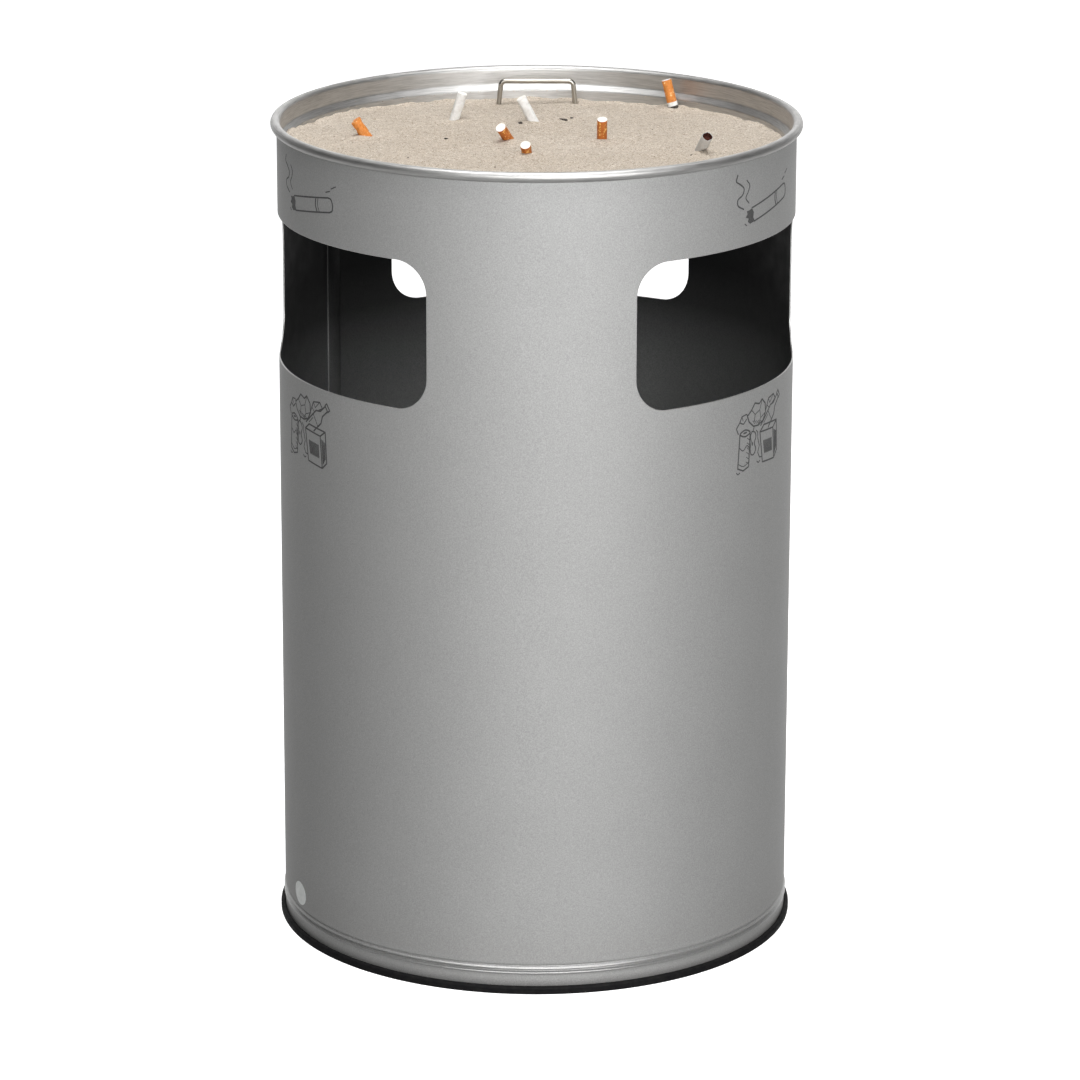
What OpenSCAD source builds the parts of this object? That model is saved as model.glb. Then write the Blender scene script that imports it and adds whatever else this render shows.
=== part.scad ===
// Round litter bin with three throw-in openings and a lift-off sand ash bowl.
// Millimetres, +Z up. The origin is the centre of the footprint on the ground.
// The strip between two of the openings faces -Y.

/* [Body] */
// Outer diameter of the body shell
body_d = 390; // [380:1:396]
// Thickness of the body sheet
body_t = 1.2; // [0.8:0.1:1.5]
// Height of the shell's top edge above the ground
shell_top = 619.3; // [600:0.1:640]
// Width of the inner lap of the body seam
lap_w = 15; // [10:1:20]
// Height of the swaged double bead near the foot
swage_z = 18; // [17:0.5:20]

/* [Throw-in openings] */
// Width of one opening, as an angle around the body
opening_angle = 74; // [60:1:84]
// Height of an opening's lower edge above the ground
opening_z = 445; // [440:1:460]
// Height of an opening
opening_h = 111; // [90:1:112]
// Corner radius of an opening
opening_r = 25; // [10:1:30]

/* [Foot] */
// Outer diameter of the rubber foot ring
ring_d = 397.2; // [394:0.2:399]
// Height of the rubber foot ring
ring_h = 6; // [5:0.5:6.5]
// Height of the floor pan's upper face
floor_z = 23; // [22.5:0.5:24]

/* [Inner container] */
// Diameter of the container's wall, outside
liner_d = 364; // [352:1:366]
// Height of the container's rim above the ground
liner_top = 350; // [300:1:374]
// Thickness of the container's sheet
liner_t = 1; // [0.6:0.1:1.2]
// Thickness of the bail's wire
bail_wire = 5; // [4:0.5:5]

/* [Ash bowl] */
// Thickness of the bowl's sheet
bowl_t = 0.8; // [0.6:0.1:1]
// Depth of the bowl, from its rim to its floor
bowl_depth = 51; // [44:1:56]
// Outer radius of the rolled rim
rim_r = 3.7; // [3.2:0.1:3.9]
// Depth of the sand's surface below the rim
sand_drop = 22; // [20:1:24]

/* [Sieve] */
// Diameter of the sieve plate
sieve_d = 344; // [300:1:346]
// Thickness of the sieve plate
sieve_t = 1.5; // [1:0.1:2]
// Diameter of a sieve hole
sieve_hole = 9; // [6:0.5:10]
// Spacing of the sieve's rings of holes
sieve_pitch = 21; // [18:1:21]
// Width of the sieve's grip, between its wire legs
grip_w = 56; // [50:1:70]
// Height of the grip's bar above the sand
grip_h = 15.5; // [14:0.5:16]
// Thickness of the grip's wire
grip_wire = 4; // [3:0.5:4]
// Distance of the grip from the bowl's centre
grip_y = 165; // [155:1:166]
// How far the sieve and what lies on it are turned in the bowl
insert_turn = 1; // [-30:1:30]
// Diameter of a cigarette butt
butt_d = 8; // [7:0.5:8]
// Length of a cigarette butt
butt_l = 36; // [30:1:36]

/* [Hidden] */
$fn = 96;
R = body_d / 2;
rim_top = shell_top + 2 * rim_r + 0.4;
rim_c = R + 0.9;
rim_z = rim_top - rim_r;
bowl_r = rim_c - rim_r;
bowl_low_r = bowl_r - 4;
bowl_floor = rim_top - bowl_depth;
corner_r = 14;
step_z = rim_top - 19.4;
liner_r = liner_d / 2;
bead_r = 4;
bead_c = liner_r + bead_r - 0.8;
bail_r = bead_c + 0.8;
bail_z = liner_top + 0.3 + bail_wire / 2;
bail_bend = 4;
sieve_z = bowl_floor + 0.3;
sieve_top = sieve_z + sieve_t;
splay = 6;
gap = 0.2;
// one row a butt: x and y where it enters the sand, its lean in x and in y
// over 10 mm of height, and the height of its end above the sand
CORK = [[-127, 20.8, -7.3, -0.7, 14], [-20, 11.2, -5.2, -8.6, 13.5], [-7, -35.5, -1.4, -7.3, 9.1],
  [49.2, 19.3, 0, -3.4, 16.9], [105.9, 146.2, -2.7, 0.8, 20.2]];
WHITE = [[-63.2, 96.4, 3, -0.5, 19.9], [-2.7, 87.4, -5.2, -1.2, 18.4], [122, -22.9, 2.9, -8.8, 14.9]];

function sand_z() = shell_top + 2 * rim_r + 0.4 - sand_drop;
function arc(x, y, r, a0, a1, n) = [for (i = [0:n]) let (a = a0 + (a1 - a0) * i / n) [x + r * cos(a), y + r * sin(a)]];
function unit(v) = v / norm(v);
function side(v) = [v[1], -v[0]];
function last(p) = p[len(p) - 1];
// the same line moved t to its right-hand side, with mitred corners
function beside(p, t) = [for (i = [0:len(p) - 1])
  let (a = side(unit(i == 0 ? p[1] - p[0] : p[i] - p[i - 1])),
       b = side(unit(i == len(p) - 1 ? last(p) - p[i - 1] : p[i + 1] - p[i])),
       m = unit(a + b))
  p[i] + m * t / (m * a)];
function back(p) = [for (i = [len(p) - 1:-1:0]) p[i]];
// closed outline of a sheet of thickness t to the right of the line p
function sheet_of(p, t) = concat(p, back(beside(p, t)));

// outer face of the shell at height z: a soft double bead rolled over the floor's flange
function bump(z, c, w, h) = h * exp(-pow((z - c) / w, 2));
function shell_r(z) = R + bump(z, swage_z + 3.6, 0.9, -1) + bump(z, swage_z + 1.7, 0.8, 0.6)
  + bump(z, swage_z - 0.1, 0.8, -0.8) + bump(z, swage_z - 1.9, 0.8, 0.6);

// wall sector between two angles, counted from +X
module sector(r0, r1, z0, z1, a0, a1) {
  rotate([0, 0, a0]) rotate_extrude(angle = a1 - a0) translate([r0, z0]) square([r1 - r0, z1 - z0]);
}

// outline of an opening as the flat sheet has it, wrapped on the body
function opening_outline(hw, z0, z1, r) = [for (q = [0:3])
  let (sx = q == 0 || q == 3 ? 1 : -1, top = q < 2 ? 1 : 0)
  for (i = [0:9])
    let (a = 90 * q + 10 * i,
         s = sx * (hw - r) + r * cos(a),
         z = (top == 1 ? z1 - r : z0 + r) + r * sin(a))
    [R * sin(s / R * 180 / PI), z]];

module opening_cut(turn) {
  rotate([0, 0, turn]) translate([0, -100, 0]) rotate([90, 0, 0]) linear_extrude(height = 120)
    polygon(opening_outline(R * opening_angle / 2 * PI / 180, opening_z, opening_z + opening_h, opening_r));
}

module body_shell() color([0.66, 0.66, 0.66]) difference() {
  union() {
    rotate_extrude() polygon(sheet_of(concat([[R, shell_top]],
      [for (i = [0:26]) let (z = swage_z + 7 - i * 0.5) [shell_r(z), z]], [[R, 2]]), body_t));
    sector(R - 2 * body_t + 0.2, R - body_t + 0.4, swage_z + 10, bowl_floor - 8, 146 - lap_w / R * 90 / PI, 146 + lap_w / R * 90 / PI);
  }
  opening_cut(60);
  opening_cut(-60);
  opening_cut(180);
}

// floor of the bin: a disc with a down-turned flange, held by the swaged beads
module floor_pan() color([0.55, 0.56, 0.57]) rotate_extrude() polygon(sheet_of(concat(
  [[0, floor_z]], arc(R - body_t - 1.6 - 3, floor_z - 3, 3, 90, 0, 8), [[R - body_t - 1.6, 8]]), 1));

// rubber ring pushed on the shell's lower edge
module base_ring() color([0.08, 0.08, 0.08]) rotate_extrude() polygon(concat(
  [[R - body_t - 3.2, 0]], arc(ring_d / 2 - 1, 1, 1, -90, 0, 4), arc(ring_d / 2 - 2, ring_h - 2, 2, 0, 90, 6),
  [[R + 0.15, ring_h], [R + 0.15, 1.9], [R - body_t - 0.15, 1.9], [R - body_t - 0.15, ring_h - 0.5],
   [R - body_t - 3.2, ring_h - 0.5]]));

module liner_wall() color([0.62, 0.64, 0.66]) difference() {
  rotate_extrude() union() {
    translate([liner_r - liner_t, floor_z + 0.4]) square([liner_t, liner_top - bead_r - floor_z - 0.4]);
    translate([bead_c, liner_top - bead_r]) circle(r = bead_r);
    translate([liner_r - 0.5, floor_z + 0.4]) square([2, 5]);
  }
  for (s = [-1, 1], y = [-7, 7]) translate([s * (liner_r - 6), y, liner_top - 20]) rotate([0, s * 90, 0]) cylinder(r = 2.1, h = 12);
}

module liner_floor() color([0.62, 0.64, 0.66]) rotate_extrude() polygon(sheet_of(concat(
  [[0, floor_z + 9]], arc(liner_r - liner_t - 0.1 - 4, floor_z + 5, 4, 90, 0, 8), [[liner_r - liner_t - 0.1, floor_z + 1]]), 0.9));

// riveted ear that holds one end of the bail, on the +X side
module ear() {
  r1 = liner_r - liner_t - 0.1;
  difference() {
    intersection() {
      sector(r1 - 1.5, r1, liner_top - 30, liner_top + 9, -6, 6);
      translate([r1 - 20, 0, 0]) rotate([90, 0, 90]) linear_extrude(height = 30) union() {
        translate([-13, liner_top - 29]) square([26, 20]);
        polygon([[-13, liner_top - 9.01], [13, liner_top - 9.01], [6.5, bail_z], [-6.5, bail_z]]);
        translate([0, bail_z - 0.2]) circle(r = 6.5);
      }
    }
    translate([r1 - 8, 0, bail_z]) rotate([0, 90, 0]) cylinder(r = bail_wire / 2 + 0.1, h = 16);
    for (y = [-7, 7]) translate([r1 - 8, y, liner_top - 20]) rotate([0, 90, 0]) cylinder(r = 2.1, h = 16);
  }
}

module bail_ear_right() color([0.58, 0.6, 0.62]) ear();
module bail_ear_left() color([0.58, 0.6, 0.62]) mirror([1, 0, 0]) ear();

module rivet(x, y, z) translate([x, y, z]) rotate([0, 90, 0]) {
  translate([0, 0, -3.4]) cylinder(r = 4, h = 1.4);
  translate([0, 0, -2.1]) cylinder(r = 2, h = 3.3);
  translate([0, 0, 1.1]) cylinder(r = 3.6, h = 1.2);
}

module ear_rivets() color([0.7, 0.7, 0.7]) for (y = [-7, 7]) {
  rivet(liner_r - 1, y, liner_top - 20);
  mirror([1, 0, 0]) rivet(liner_r - 1, y, liner_top - 20);
}

// wire bail: it lies on the container's rim and turns about the two ears
module bail_handle() color([0.7, 0.71, 0.72]) {
  d = asin(bail_bend / (bail_r - bail_bend));
  cx = (bail_r - bail_bend) * cos(d);
  x0 = liner_r - liner_t - 6;
  union() {
    translate([0, 0, bail_z]) rotate([0, 0, 180 + d - 0.05]) rotate_extrude(angle = 180 - 2 * d + 0.1) translate([bail_r, 0]) circle(r = bail_wire / 2);
    for (m = [0, 1]) mirror([m, 0, 0]) {
      translate([cx, -bail_bend, bail_z]) rotate([0, 0, -d]) rotate_extrude(angle = 90 + d) translate([bail_bend, 0]) circle(r = bail_wire / 2 + 0.03);
      translate([x0 + 0.8, 0, bail_z]) rotate([0, 90, 0]) cylinder(r = bail_wire / 2, h = cx - x0 - 0.65);
      translate([x0, 0, bail_z]) rotate([0, 90, 0]) cylinder(r = bail_wire / 2 + 1.5, h = 1.6);
    }
  }
}

// line of the bowl's inner face, from its centre to the end of the rolled rim
module ash_bowl() color([0.8, 0.8, 0.8]) {
  a = 38;
  line = concat([[0, bowl_floor]],
    arc(bowl_low_r - corner_r, bowl_floor + corner_r, corner_r, -90, 0, 10),
    arc(bowl_low_r + 2.5, step_z, 2.5, 180, 180 - a, 4),
    arc(bowl_r - 2.5, step_z + 6.2, 2.5, -a, 0, 4),
    arc(rim_c, rim_z, rim_r, 180, -100, 28));
  rotate_extrude() polygon(sheet_of(line, bowl_t));
}

// axis of a butt: a straight rod from its buried end to its upper end
module butt(b, r, below, above) {
  v = [b[2] / 10, b[3] / 10, 1];
  up = norm([b[2], b[3]]) / 10;
  translate([b[0] + v[0] * b[4], b[1] + v[1] * b[4], sand_z() + b[4]])
    rotate([0, atan(up), atan2(b[3], b[2])]) translate([0, 0, -butt_l - below]) cylinder(r = r, h = butt_l + below + above);
}

// one leg of the grip, leaning outwards by the splay angle, cut off at height z0
module leg(r, z0) {
  intersection() {
    translate([grip_w / 2 - bend_t() + 4 * cos(splay), grip_y, grip_top() - 4 + 4 * sin(splay)]) rotate([0, 180 - splay, 0]) translate([0, 0, -0.15]) cylinder(r = r, h = 60);
    translate([0, grip_y - 10, z0]) cube([60, 20, 60]);
  }
}
function grip_top() = sand_z() + grip_h;
function bend_t() = 4 * tan((90 - splay) / 2);

module sieve_grip() color([0.75, 0.74, 0.7]) rotate([0, 0, insert_turn]) union() {
  r = grip_wire / 2;
  x = grip_w / 2 - bend_t();
  translate([-x - 0.15, grip_y, grip_top()]) rotate([0, 90, 0]) cylinder(r = r, h = 2 * x + 0.3);
  for (m = [0, 1]) mirror([m, 0, 0]) {
    translate([x, grip_y, grip_top() - 4]) rotate([90, 0, 0]) rotate([0, 0, splay]) rotate_extrude(angle = 90 - splay) translate([4, 0]) circle(r = r + 0.03);
    leg(r, sieve_top);
  }
}

module sieve_plate() color([0.7, 0.7, 0.7]) rotate([0, 0, insert_turn]) difference() {
  translate([0, 0, sieve_z]) cylinder(r = sieve_d / 2, h = sieve_t);
  translate([0, 0, sieve_z - 1]) cylinder(r = sieve_hole / 2, h = sieve_t + 2);
  for (k = [1:7], i = [0:6 * k - 1]) rotate([0, 0, i * 60 / k]) translate([k * sieve_pitch, 0, sieve_z - 1]) cylinder(r = sieve_hole / 2, h = sieve_t + 2);
}

// quartz sand, with a free channel round the plate, the grip's legs and each butt
module sand() color([0.8, 0.75, 0.67]) difference() {
  rotate_extrude() polygon(concat([[0, bowl_floor + gap]],
    arc(bowl_low_r - corner_r, bowl_floor + corner_r, corner_r - gap, -90, 0, 10),
    [[bowl_low_r - gap, sand_z()], [0, sand_z()]]));
  translate([0, 0, bowl_floor - 1]) cylinder(r = sieve_d / 2 + 0.4, h = sieve_t + 1.7);
  rotate([0, 0, insert_turn]) {
    for (m = [0, 1]) mirror([m, 0, 0]) leg(grip_wire / 2 + 0.5, sieve_top - 1, $fn = 12);
    for (b = concat(CORK, WHITE)) butt(b, butt_d / 2 + 0.5, 0.5, 20, $fn = 12);
  }
}

module butts_cork() color([0.85, 0.5, 0.2]) rotate([0, 0, insert_turn]) for (b = CORK) butt(b, butt_d / 2, 0, 0);
module butts_white() color([0.95, 0.95, 0.93]) rotate([0, 0, insert_turn]) for (b = WHITE) butt(b, butt_d / 2, 0, 0);

body_shell();
floor_pan();
base_ring();
liner_wall();
liner_floor();
bail_ear_left();
bail_ear_right();
ear_rivets();
bail_handle();
ash_bowl();
sand();
sieve_plate();
sieve_grip();
butts_cork();
butts_white();
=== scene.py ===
import math

import bpy
import bmesh
import numpy as np
from mathutils import Matrix, Vector
from mathutils.geometry import delaunay_2d_cdt, tessellate_polygon


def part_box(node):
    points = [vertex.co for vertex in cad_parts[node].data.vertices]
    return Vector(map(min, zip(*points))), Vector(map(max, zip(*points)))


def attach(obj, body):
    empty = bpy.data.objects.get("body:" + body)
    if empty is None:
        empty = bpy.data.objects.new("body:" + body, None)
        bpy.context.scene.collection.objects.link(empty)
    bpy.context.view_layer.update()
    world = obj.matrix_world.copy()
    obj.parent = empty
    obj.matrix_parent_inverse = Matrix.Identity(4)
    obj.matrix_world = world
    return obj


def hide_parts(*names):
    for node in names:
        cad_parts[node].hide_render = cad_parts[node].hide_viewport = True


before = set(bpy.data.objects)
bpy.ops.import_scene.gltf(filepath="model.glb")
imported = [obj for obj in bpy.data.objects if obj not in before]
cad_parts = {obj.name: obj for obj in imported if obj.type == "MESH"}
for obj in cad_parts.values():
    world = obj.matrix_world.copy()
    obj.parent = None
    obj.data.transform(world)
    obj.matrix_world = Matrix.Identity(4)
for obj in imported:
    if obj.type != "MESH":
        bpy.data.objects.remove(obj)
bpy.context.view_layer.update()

# All the lengths below are millimetres and become metres when a mesh is made.
MM = 0.001
TAU = 2 * math.pi


# ---------------------------------------------------------------- sizes from the frame
def box_mm(node):
    lo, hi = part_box(node)
    return np.array(lo) / MM, np.array(hi) / MM


def nodes_co(node):
    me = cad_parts[node].data
    co = np.zeros(len(me.vertices) * 3)
    me.vertices.foreach_get("co", co)
    return co.reshape(-1, 3) / MM


shell_co = nodes_co("body_shell")
SHELL_TOP = float(shell_co[:, 2].max())
SHELL_LOW = float(shell_co[:, 2].min())
R = float(np.hypot(*shell_co[shell_co[:, 2] > SHELL_TOP - 0.05][:, :2].T).max())
WALL = 1.2
RING_R = float(box_mm("base_ring")[1][0])
RING_H = float(box_mm("base_ring")[1][2])
RIM_TOP = float(box_mm("ash_bowl")[1][2])
RIM_OUT = min(float(box_mm("ash_bowl")[1][0]), float(box_mm("ash_bowl")[1][1])) - 0.02
SAND_Z = float(box_mm("sand")[1][2])
PLATE_TOP = float(box_mm("sieve_plate")[1][2])
BOWL_FLOOR = RIM_TOP - 51.0
SWAGE = 18.0
OPEN_LOW, OPEN_H, OPEN_R = 445.0, 111.0, 25.0
OPEN_HALF = R * math.radians(37.0)
OPENINGS = (60.0, 180.0, 300.0)
LAP = 236.0  # angle of the body's seam, the same way round as the openings
TURN = math.radians(1.0)  # what lies in the bowl is turned by this


# ---------------------------------------------------------------- small mesh tools
def new_object(name, verts, faces, mats=(), face_mats=None, smooth=True, sharp=None):
    me = bpy.data.meshes.new(name)
    me.from_pydata((np.asarray(verts, float) * MM).tolist(), [], [tuple(f) for f in faces])
    for m in mats:
        me.materials.append(m)
    if face_mats is not None:
        me.polygons.foreach_set("material_index", np.asarray(face_mats, np.int32))
    if smooth:
        me.polygons.foreach_set("use_smooth", np.ones(len(me.polygons), bool))
        if sharp is not None:
            me.set_sharp_from_angle(angle=math.radians(sharp))
    me.update()
    ob = bpy.data.objects.new(name, me)
    bpy.context.scene.collection.objects.link(ob)
    return ob


def outward(ob):
    bm = bmesh.new()
    bm.from_mesh(ob.data)
    bmesh.ops.recalc_face_normals(bm, faces=bm.faces)
    bm.to_mesh(ob.data)
    bm.free()
    return ob


def lathe(profile, seg=384, closed=True, phase=0.0):
    """Verts and quads of a profile [(r, z), ...] turned about Z. A radius under 1e-6 is a pole."""
    verts, rows = [], []
    for r, z in profile:
        if r < 1e-6:
            rows.append([len(verts)] * seg)
            verts.append((0.0, 0.0, z))
        else:
            rows.append(list(range(len(verts), len(verts) + seg)))
            for i in range(seg):
                a = TAU * i / seg + phase
                verts.append((r * math.cos(a), r * math.sin(a), z))
    faces = []
    n = len(profile)
    for k in range(n if closed else n - 1):
        a, b = rows[k], rows[(k + 1) % n]
        for i in range(seg):
            j = (i + 1) % seg
            f = [a[i], a[j], b[j], b[i]]
            g = [x for t, x in enumerate(f) if x != f[t - 1]]
            if len(set(g)) > 2:
                faces.append(g)
    return verts, faces


def arc(cx, cy, r, a0, a1, n):
    return [(cx + r * math.cos(math.radians(a0 + (a1 - a0) * i / n)),
             cy + r * math.sin(math.radians(a0 + (a1 - a0) * i / n))) for i in range(n + 1)]


def beside(line, t):
    """The same open line moved t to its right-hand side, with mitred corners."""
    p = np.array(line, float)
    d = p[1:] - p[:-1]
    d /= np.linalg.norm(d, axis=1)[:, None]
    s = np.stack([d[:, 1], -d[:, 0]], 1)
    a = np.vstack([s[:1], s])
    b = np.vstack([s, s[-1:]])
    m = a + b
    m /= np.linalg.norm(m, axis=1)[:, None]
    return [tuple(q) for q in p + m * (t / (m * a).sum(1))[:, None]]


def waves(seed, count, short, long):
    """A smooth random height field: plane waves with wavelengths from short to long, variance 1."""
    rng = np.random.default_rng(seed)
    wl = np.exp(rng.uniform(math.log(short), math.log(long), count))
    an = rng.uniform(0, TAU, count)
    ph = rng.uniform(0, TAU, count)
    kx, ky = TAU / wl * np.cos(an), TAU / wl * np.sin(an)

    def at(x, y):
        x, y = np.asarray(x, float), np.asarray(y, float)
        out = np.zeros(np.broadcast(x, y).shape)
        for a, b, c in zip(kx, ky, ph):
            out += np.cos(a * x + b * y + c)
        return out * math.sqrt(2.0 / count)
    return at


def smooth_line(points, step, closed=False):
    """Catmull-Rom through the points, with about that spacing."""
    p = [np.array(q, float) for q in points]
    if len(p) == 2:
        n = max(1, int(np.linalg.norm(p[1] - p[0]) / step))
        return [p[0] + (p[1] - p[0]) * i / n for i in range(n + 1)]
    q = [p[-1]] + p + [p[0], p[1]] if closed else [2 * p[0] - p[1]] + p + [2 * p[-1] - p[-2]]
    out = []
    for i in range(1, len(q) - 2):
        a, b, c, d = q[i - 1:i + 3]
        n = max(2, int(np.linalg.norm(c - b) / step))
        for k in range(n):
            t = k / n
            out.append(0.5 * (2 * b + (c - a) * t + (2 * a - 5 * b + 4 * c - d) * t * t
                              + (3 * b - a - 3 * c + d) * t ** 3))
    out.append(out[0] if closed else p[-1])
    return out


# ---------------------------------------------------------------- materials
class Mat:
    """A Principled material with a few helpers. Coordinates are the row frame's, in metres."""

    def __init__(self, name, base, rough, metal=0.0, **sockets):
        self.m = bpy.data.materials.new(name)
        self.m.use_nodes = True
        self.nt = self.m.node_tree
        self.b = self.nt.nodes["Principled BSDF"]
        self.b.inputs["Base Color"].default_value = (*base, 1)
        self.b.inputs["Roughness"].default_value = rough
        self.b.inputs["Metallic"].default_value = metal
        for k, v in sockets.items():
            self.b.inputs[k.replace("_", " ")].default_value = v
        self.m.diffuse_color = (*base, 1)
        self.tc = self.nt.nodes.new("ShaderNodeTexCoord")
        self.bumps = None

    def link(self, a, b):
        self.nt.links.new(a, b)

    def coords(self, scale=(1, 1, 1)):
        n = self.nt.nodes.new("ShaderNodeMapping")
        n.inputs["Scale"].default_value = scale
        self.link(self.tc.outputs["Object"], n.inputs["Vector"])
        return n.outputs["Vector"]

    def noise(self, scale, detail=2.0, rough=0.5, vec=None, distort=0.0):
        n = self.nt.nodes.new("ShaderNodeTexNoise")
        n.inputs["Scale"].default_value = scale
        n.inputs["Detail"].default_value = detail
        n.inputs["Roughness"].default_value = rough
        n.inputs["Distortion"].default_value = distort
        self.link(vec if vec is not None else self.tc.outputs["Object"], n.inputs["Vector"])
        return n.outputs["Fac"]

    def cells(self, scale, out="Color", feature="F1", vec=None, randomness=1.0):
        n = self.nt.nodes.new("ShaderNodeTexVoronoi")
        n.feature = feature
        n.inputs["Scale"].default_value = scale
        n.inputs["Randomness"].default_value = randomness
        self.link(vec if vec is not None else self.tc.outputs["Object"], n.inputs["Vector"])
        return n.outputs[out]

    def ramp(self, fac, stops, interp="LINEAR"):
        n = self.nt.nodes.new("ShaderNodeValToRGB")
        n.color_ramp.interpolation = interp
        el = n.color_ramp.elements
        while len(el) < len(stops):
            el.new(0.5)
        for e, (p, c) in zip(el, stops):
            e.position = p
            e.color = (c, c, c, 1) if isinstance(c, (int, float)) else (*c, 1)
        self.link(fac, n.inputs["Fac"])
        return n.outputs["Color"]

    def mapped(self, v, a, b, c, d):
        n = self.nt.nodes.new("ShaderNodeMapRange")
        for k, x in zip(("From Min", "From Max", "To Min", "To Max"), (a, b, c, d)):
            n.inputs[k].default_value = x
        self.link(v, n.inputs["Value"])
        return n.outputs["Result"]

    def maths(self, op, a, b=None):
        n = self.nt.nodes.new("ShaderNodeMath")
        n.operation = op
        for i, x in enumerate((a, b)):
            if x is None:
                continue
            if isinstance(x, (int, float)):
                n.inputs[i].default_value = x
            else:
                self.link(x, n.inputs[i])
        return n.outputs[0]

    def mix(self, fac, a, b, blend="MIX"):
        n = self.nt.nodes.new("ShaderNodeMix")
        n.data_type = "RGBA"
        n.blend_type = blend
        n.clamp_factor = True
        for sock, x in ((0, fac), (6, a), (7, b)):
            if isinstance(x, (int, float)):
                n.inputs[sock].default_value = x
            elif isinstance(x, tuple):
                n.inputs[sock].default_value = (*x, 1)
            else:
                self.link(x, n.inputs[sock])
        return n.outputs[2]

    def height(self):
        n = self.nt.nodes.new("ShaderNodeSeparateXYZ")
        self.link(self.tc.outputs["Object"], n.inputs[0])
        return n.outputs["Z"]

    def color(self, out):
        self.link(out, self.b.inputs["Base Color"])

    def rough(self, out):
        self.link(out, self.b.inputs["Roughness"])

    def bump(self, height, distance, strength=1.0):
        n = self.nt.nodes.new("ShaderNodeBump")
        n.inputs["Strength"].default_value = strength
        n.inputs["Distance"].default_value = distance
        self.link(height, n.inputs["Height"])
        if self.bumps is not None:
            self.link(self.bumps, n.inputs["Normal"])
        self.bumps = n.outputs["Normal"]
        self.link(self.bumps, self.b.inputs["Normal"])


def coat_material():
    # silver powder coat with metal flake: fine orange peel, grain about half a millimetre
    m = Mat("body_coat", (0.42, 0.42, 0.415), 0.64, 0.6, Specular_IOR_Level=0.5)
    flake = m.noise(1250, 2.0, 0.6)
    broad = m.noise(22, 3.0, 0.55)
    c = m.ramp(flake, [(0.3, (0.36, 0.36, 0.355)), (0.5, (0.42, 0.42, 0.415)), (0.72, (0.50, 0.50, 0.495))])
    # painted shade: the colour is darkened to 0.40 in the lowest 6.5 mm, a painted contact shadow just above the foot
    # ring, and up to 4.5 per cent darker from 23 mm, fading out by 60 mm, a painted shade band above the swage beads
    low = m.ramp(m.height(), [(0.0065, (0.40, 0.395, 0.39)), (0.0090, (1.0, 0.995, 0.99)), (0.0230, (1.0, 1.0, 1.0)), (0.0245, (0.955, 0.95, 0.945)), (0.06, (1, 1, 1))])
    c = m.mix(1.0, c, low, "MULTIPLY")
    c = m.mix(1.0, c, m.ramp(broad, [(0.3, 0.965), (0.7, 1.0)]), "MULTIPLY")
    m.color(c)
    smooth = m.ramp(m.height(), [(0.0125, 1.0), (0.0140, 0.46), (0.0212, 0.46), (0.0230, 1.0)])
    m.rough(m.mix(1.0, m.mapped(m.noise(700, 2.0), 0.3, 0.7, 0.61, 0.70), smooth, "MULTIPLY"))
    m.bump(m.noise(420, 2.0, 0.5), 0.00012, 0.27)
    m.bump(m.noise(1900, 1.0, 0.5), 0.00005, 0.24)
    return m.m


def inside_material():
    m = Mat("body_inside", (0.035, 0.035, 0.036), 0.55, 0.2, Specular_IOR_Level=0.35)
    grain = m.ramp(m.noise(900, 2.0, 0.6), [(0.3, (0.70, 0.70, 0.71)), (0.7, (1.0, 1.0, 1.0))])
    # painted light: the dark inner coat is made lighter lower down, where the light through the openings falls, and
    # darkest towards the bowl as painted shade
    painted_light_by_height = m.ramp(m.height(), [(0.34, (0.40, 0.405, 0.40)), (0.40, (0.20, 0.203, 0.20)), (0.445, (0.046, 0.0465, 0.046)), (0.48, (0.017, 0.017, 0.0175))])
    m.color(m.mix(1.0, painted_light_by_height, grain, "MULTIPLY"))
    m.rough(m.mapped(m.noise(60, 3.0), 0.3, 0.7, 0.5, 0.66))
    m.bump(m.noise(500, 2.0), 0.00012, 0.4)
    return m.m


def rubber_material():
    m = Mat("ring_rubber", (0.006, 0.006, 0.007), 0.7, 0.0, Specular_IOR_Level=0.14)
    m.color(m.ramp(m.noise(160, 4.0, 0.65), [(0.35, (0.004, 0.004, 0.005)), (0.75, (0.013, 0.0125, 0.012))]))
    m.rough(m.mapped(m.noise(240, 3.0), 0.3, 0.7, 0.6, 0.8))
    m.bump(m.noise(1100, 2.0), 0.0001, 0.5)
    return m.m


def galvanised_material(name="galvanised", tone=1.0, dull=0.0):
    # hot-dip zinc: crystals 4 to 10 mm across, each with its own brightness and gloss
    m = Mat(name, (0.5 * tone, 0.52 * tone, 0.54 * tone), 0.42, 1.0)
    warp = m.noise(60, 2.0)
    vec = m.nt.nodes.new("ShaderNodeVectorMath")
    vec.operation = "MULTIPLY_ADD"
    m.link(m.tc.outputs["Object"], vec.inputs[0])
    vec.inputs[1].default_value = (1, 1, 1)
    sc = m.nt.nodes.new("ShaderNodeVectorMath")
    sc.operation = "SCALE"
    sc.inputs["Scale"].default_value = 0.006
    comb = m.nt.nodes.new("ShaderNodeCombineXYZ")
    for i in range(3):
        m.link(warp, comb.inputs[i])
    m.link(comb.outputs[0], sc.inputs[0])
    m.link(sc.outputs[0], vec.inputs[2])
    cell = m.cells(130, "Color", vec=vec.outputs[0])
    sep = m.nt.nodes.new("ShaderNodeSeparateColor")
    m.link(cell, sep.inputs[0])
    base = m.ramp(sep.outputs[0], [(0.0, (0.42 * tone, 0.44 * tone, 0.455 * tone)), (0.5, (0.50 * tone, 0.52 * tone, 0.54 * tone)),
                                   (1.0, (0.58 * tone, 0.595 * tone, 0.61 * tone))])
    m.color(m.mix(0.35, base, m.ramp(m.noise(420, 3.0), [(0.3, 0.36 * tone), (0.7, 0.6 * tone)])))
    m.rough(m.mapped(sep.outputs[1], 0, 1, 0.34 + dull, 0.46 + dull))
    m.bump(m.noise(260, 3.0), 0.00012, 0.35)
    return m.m


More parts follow.
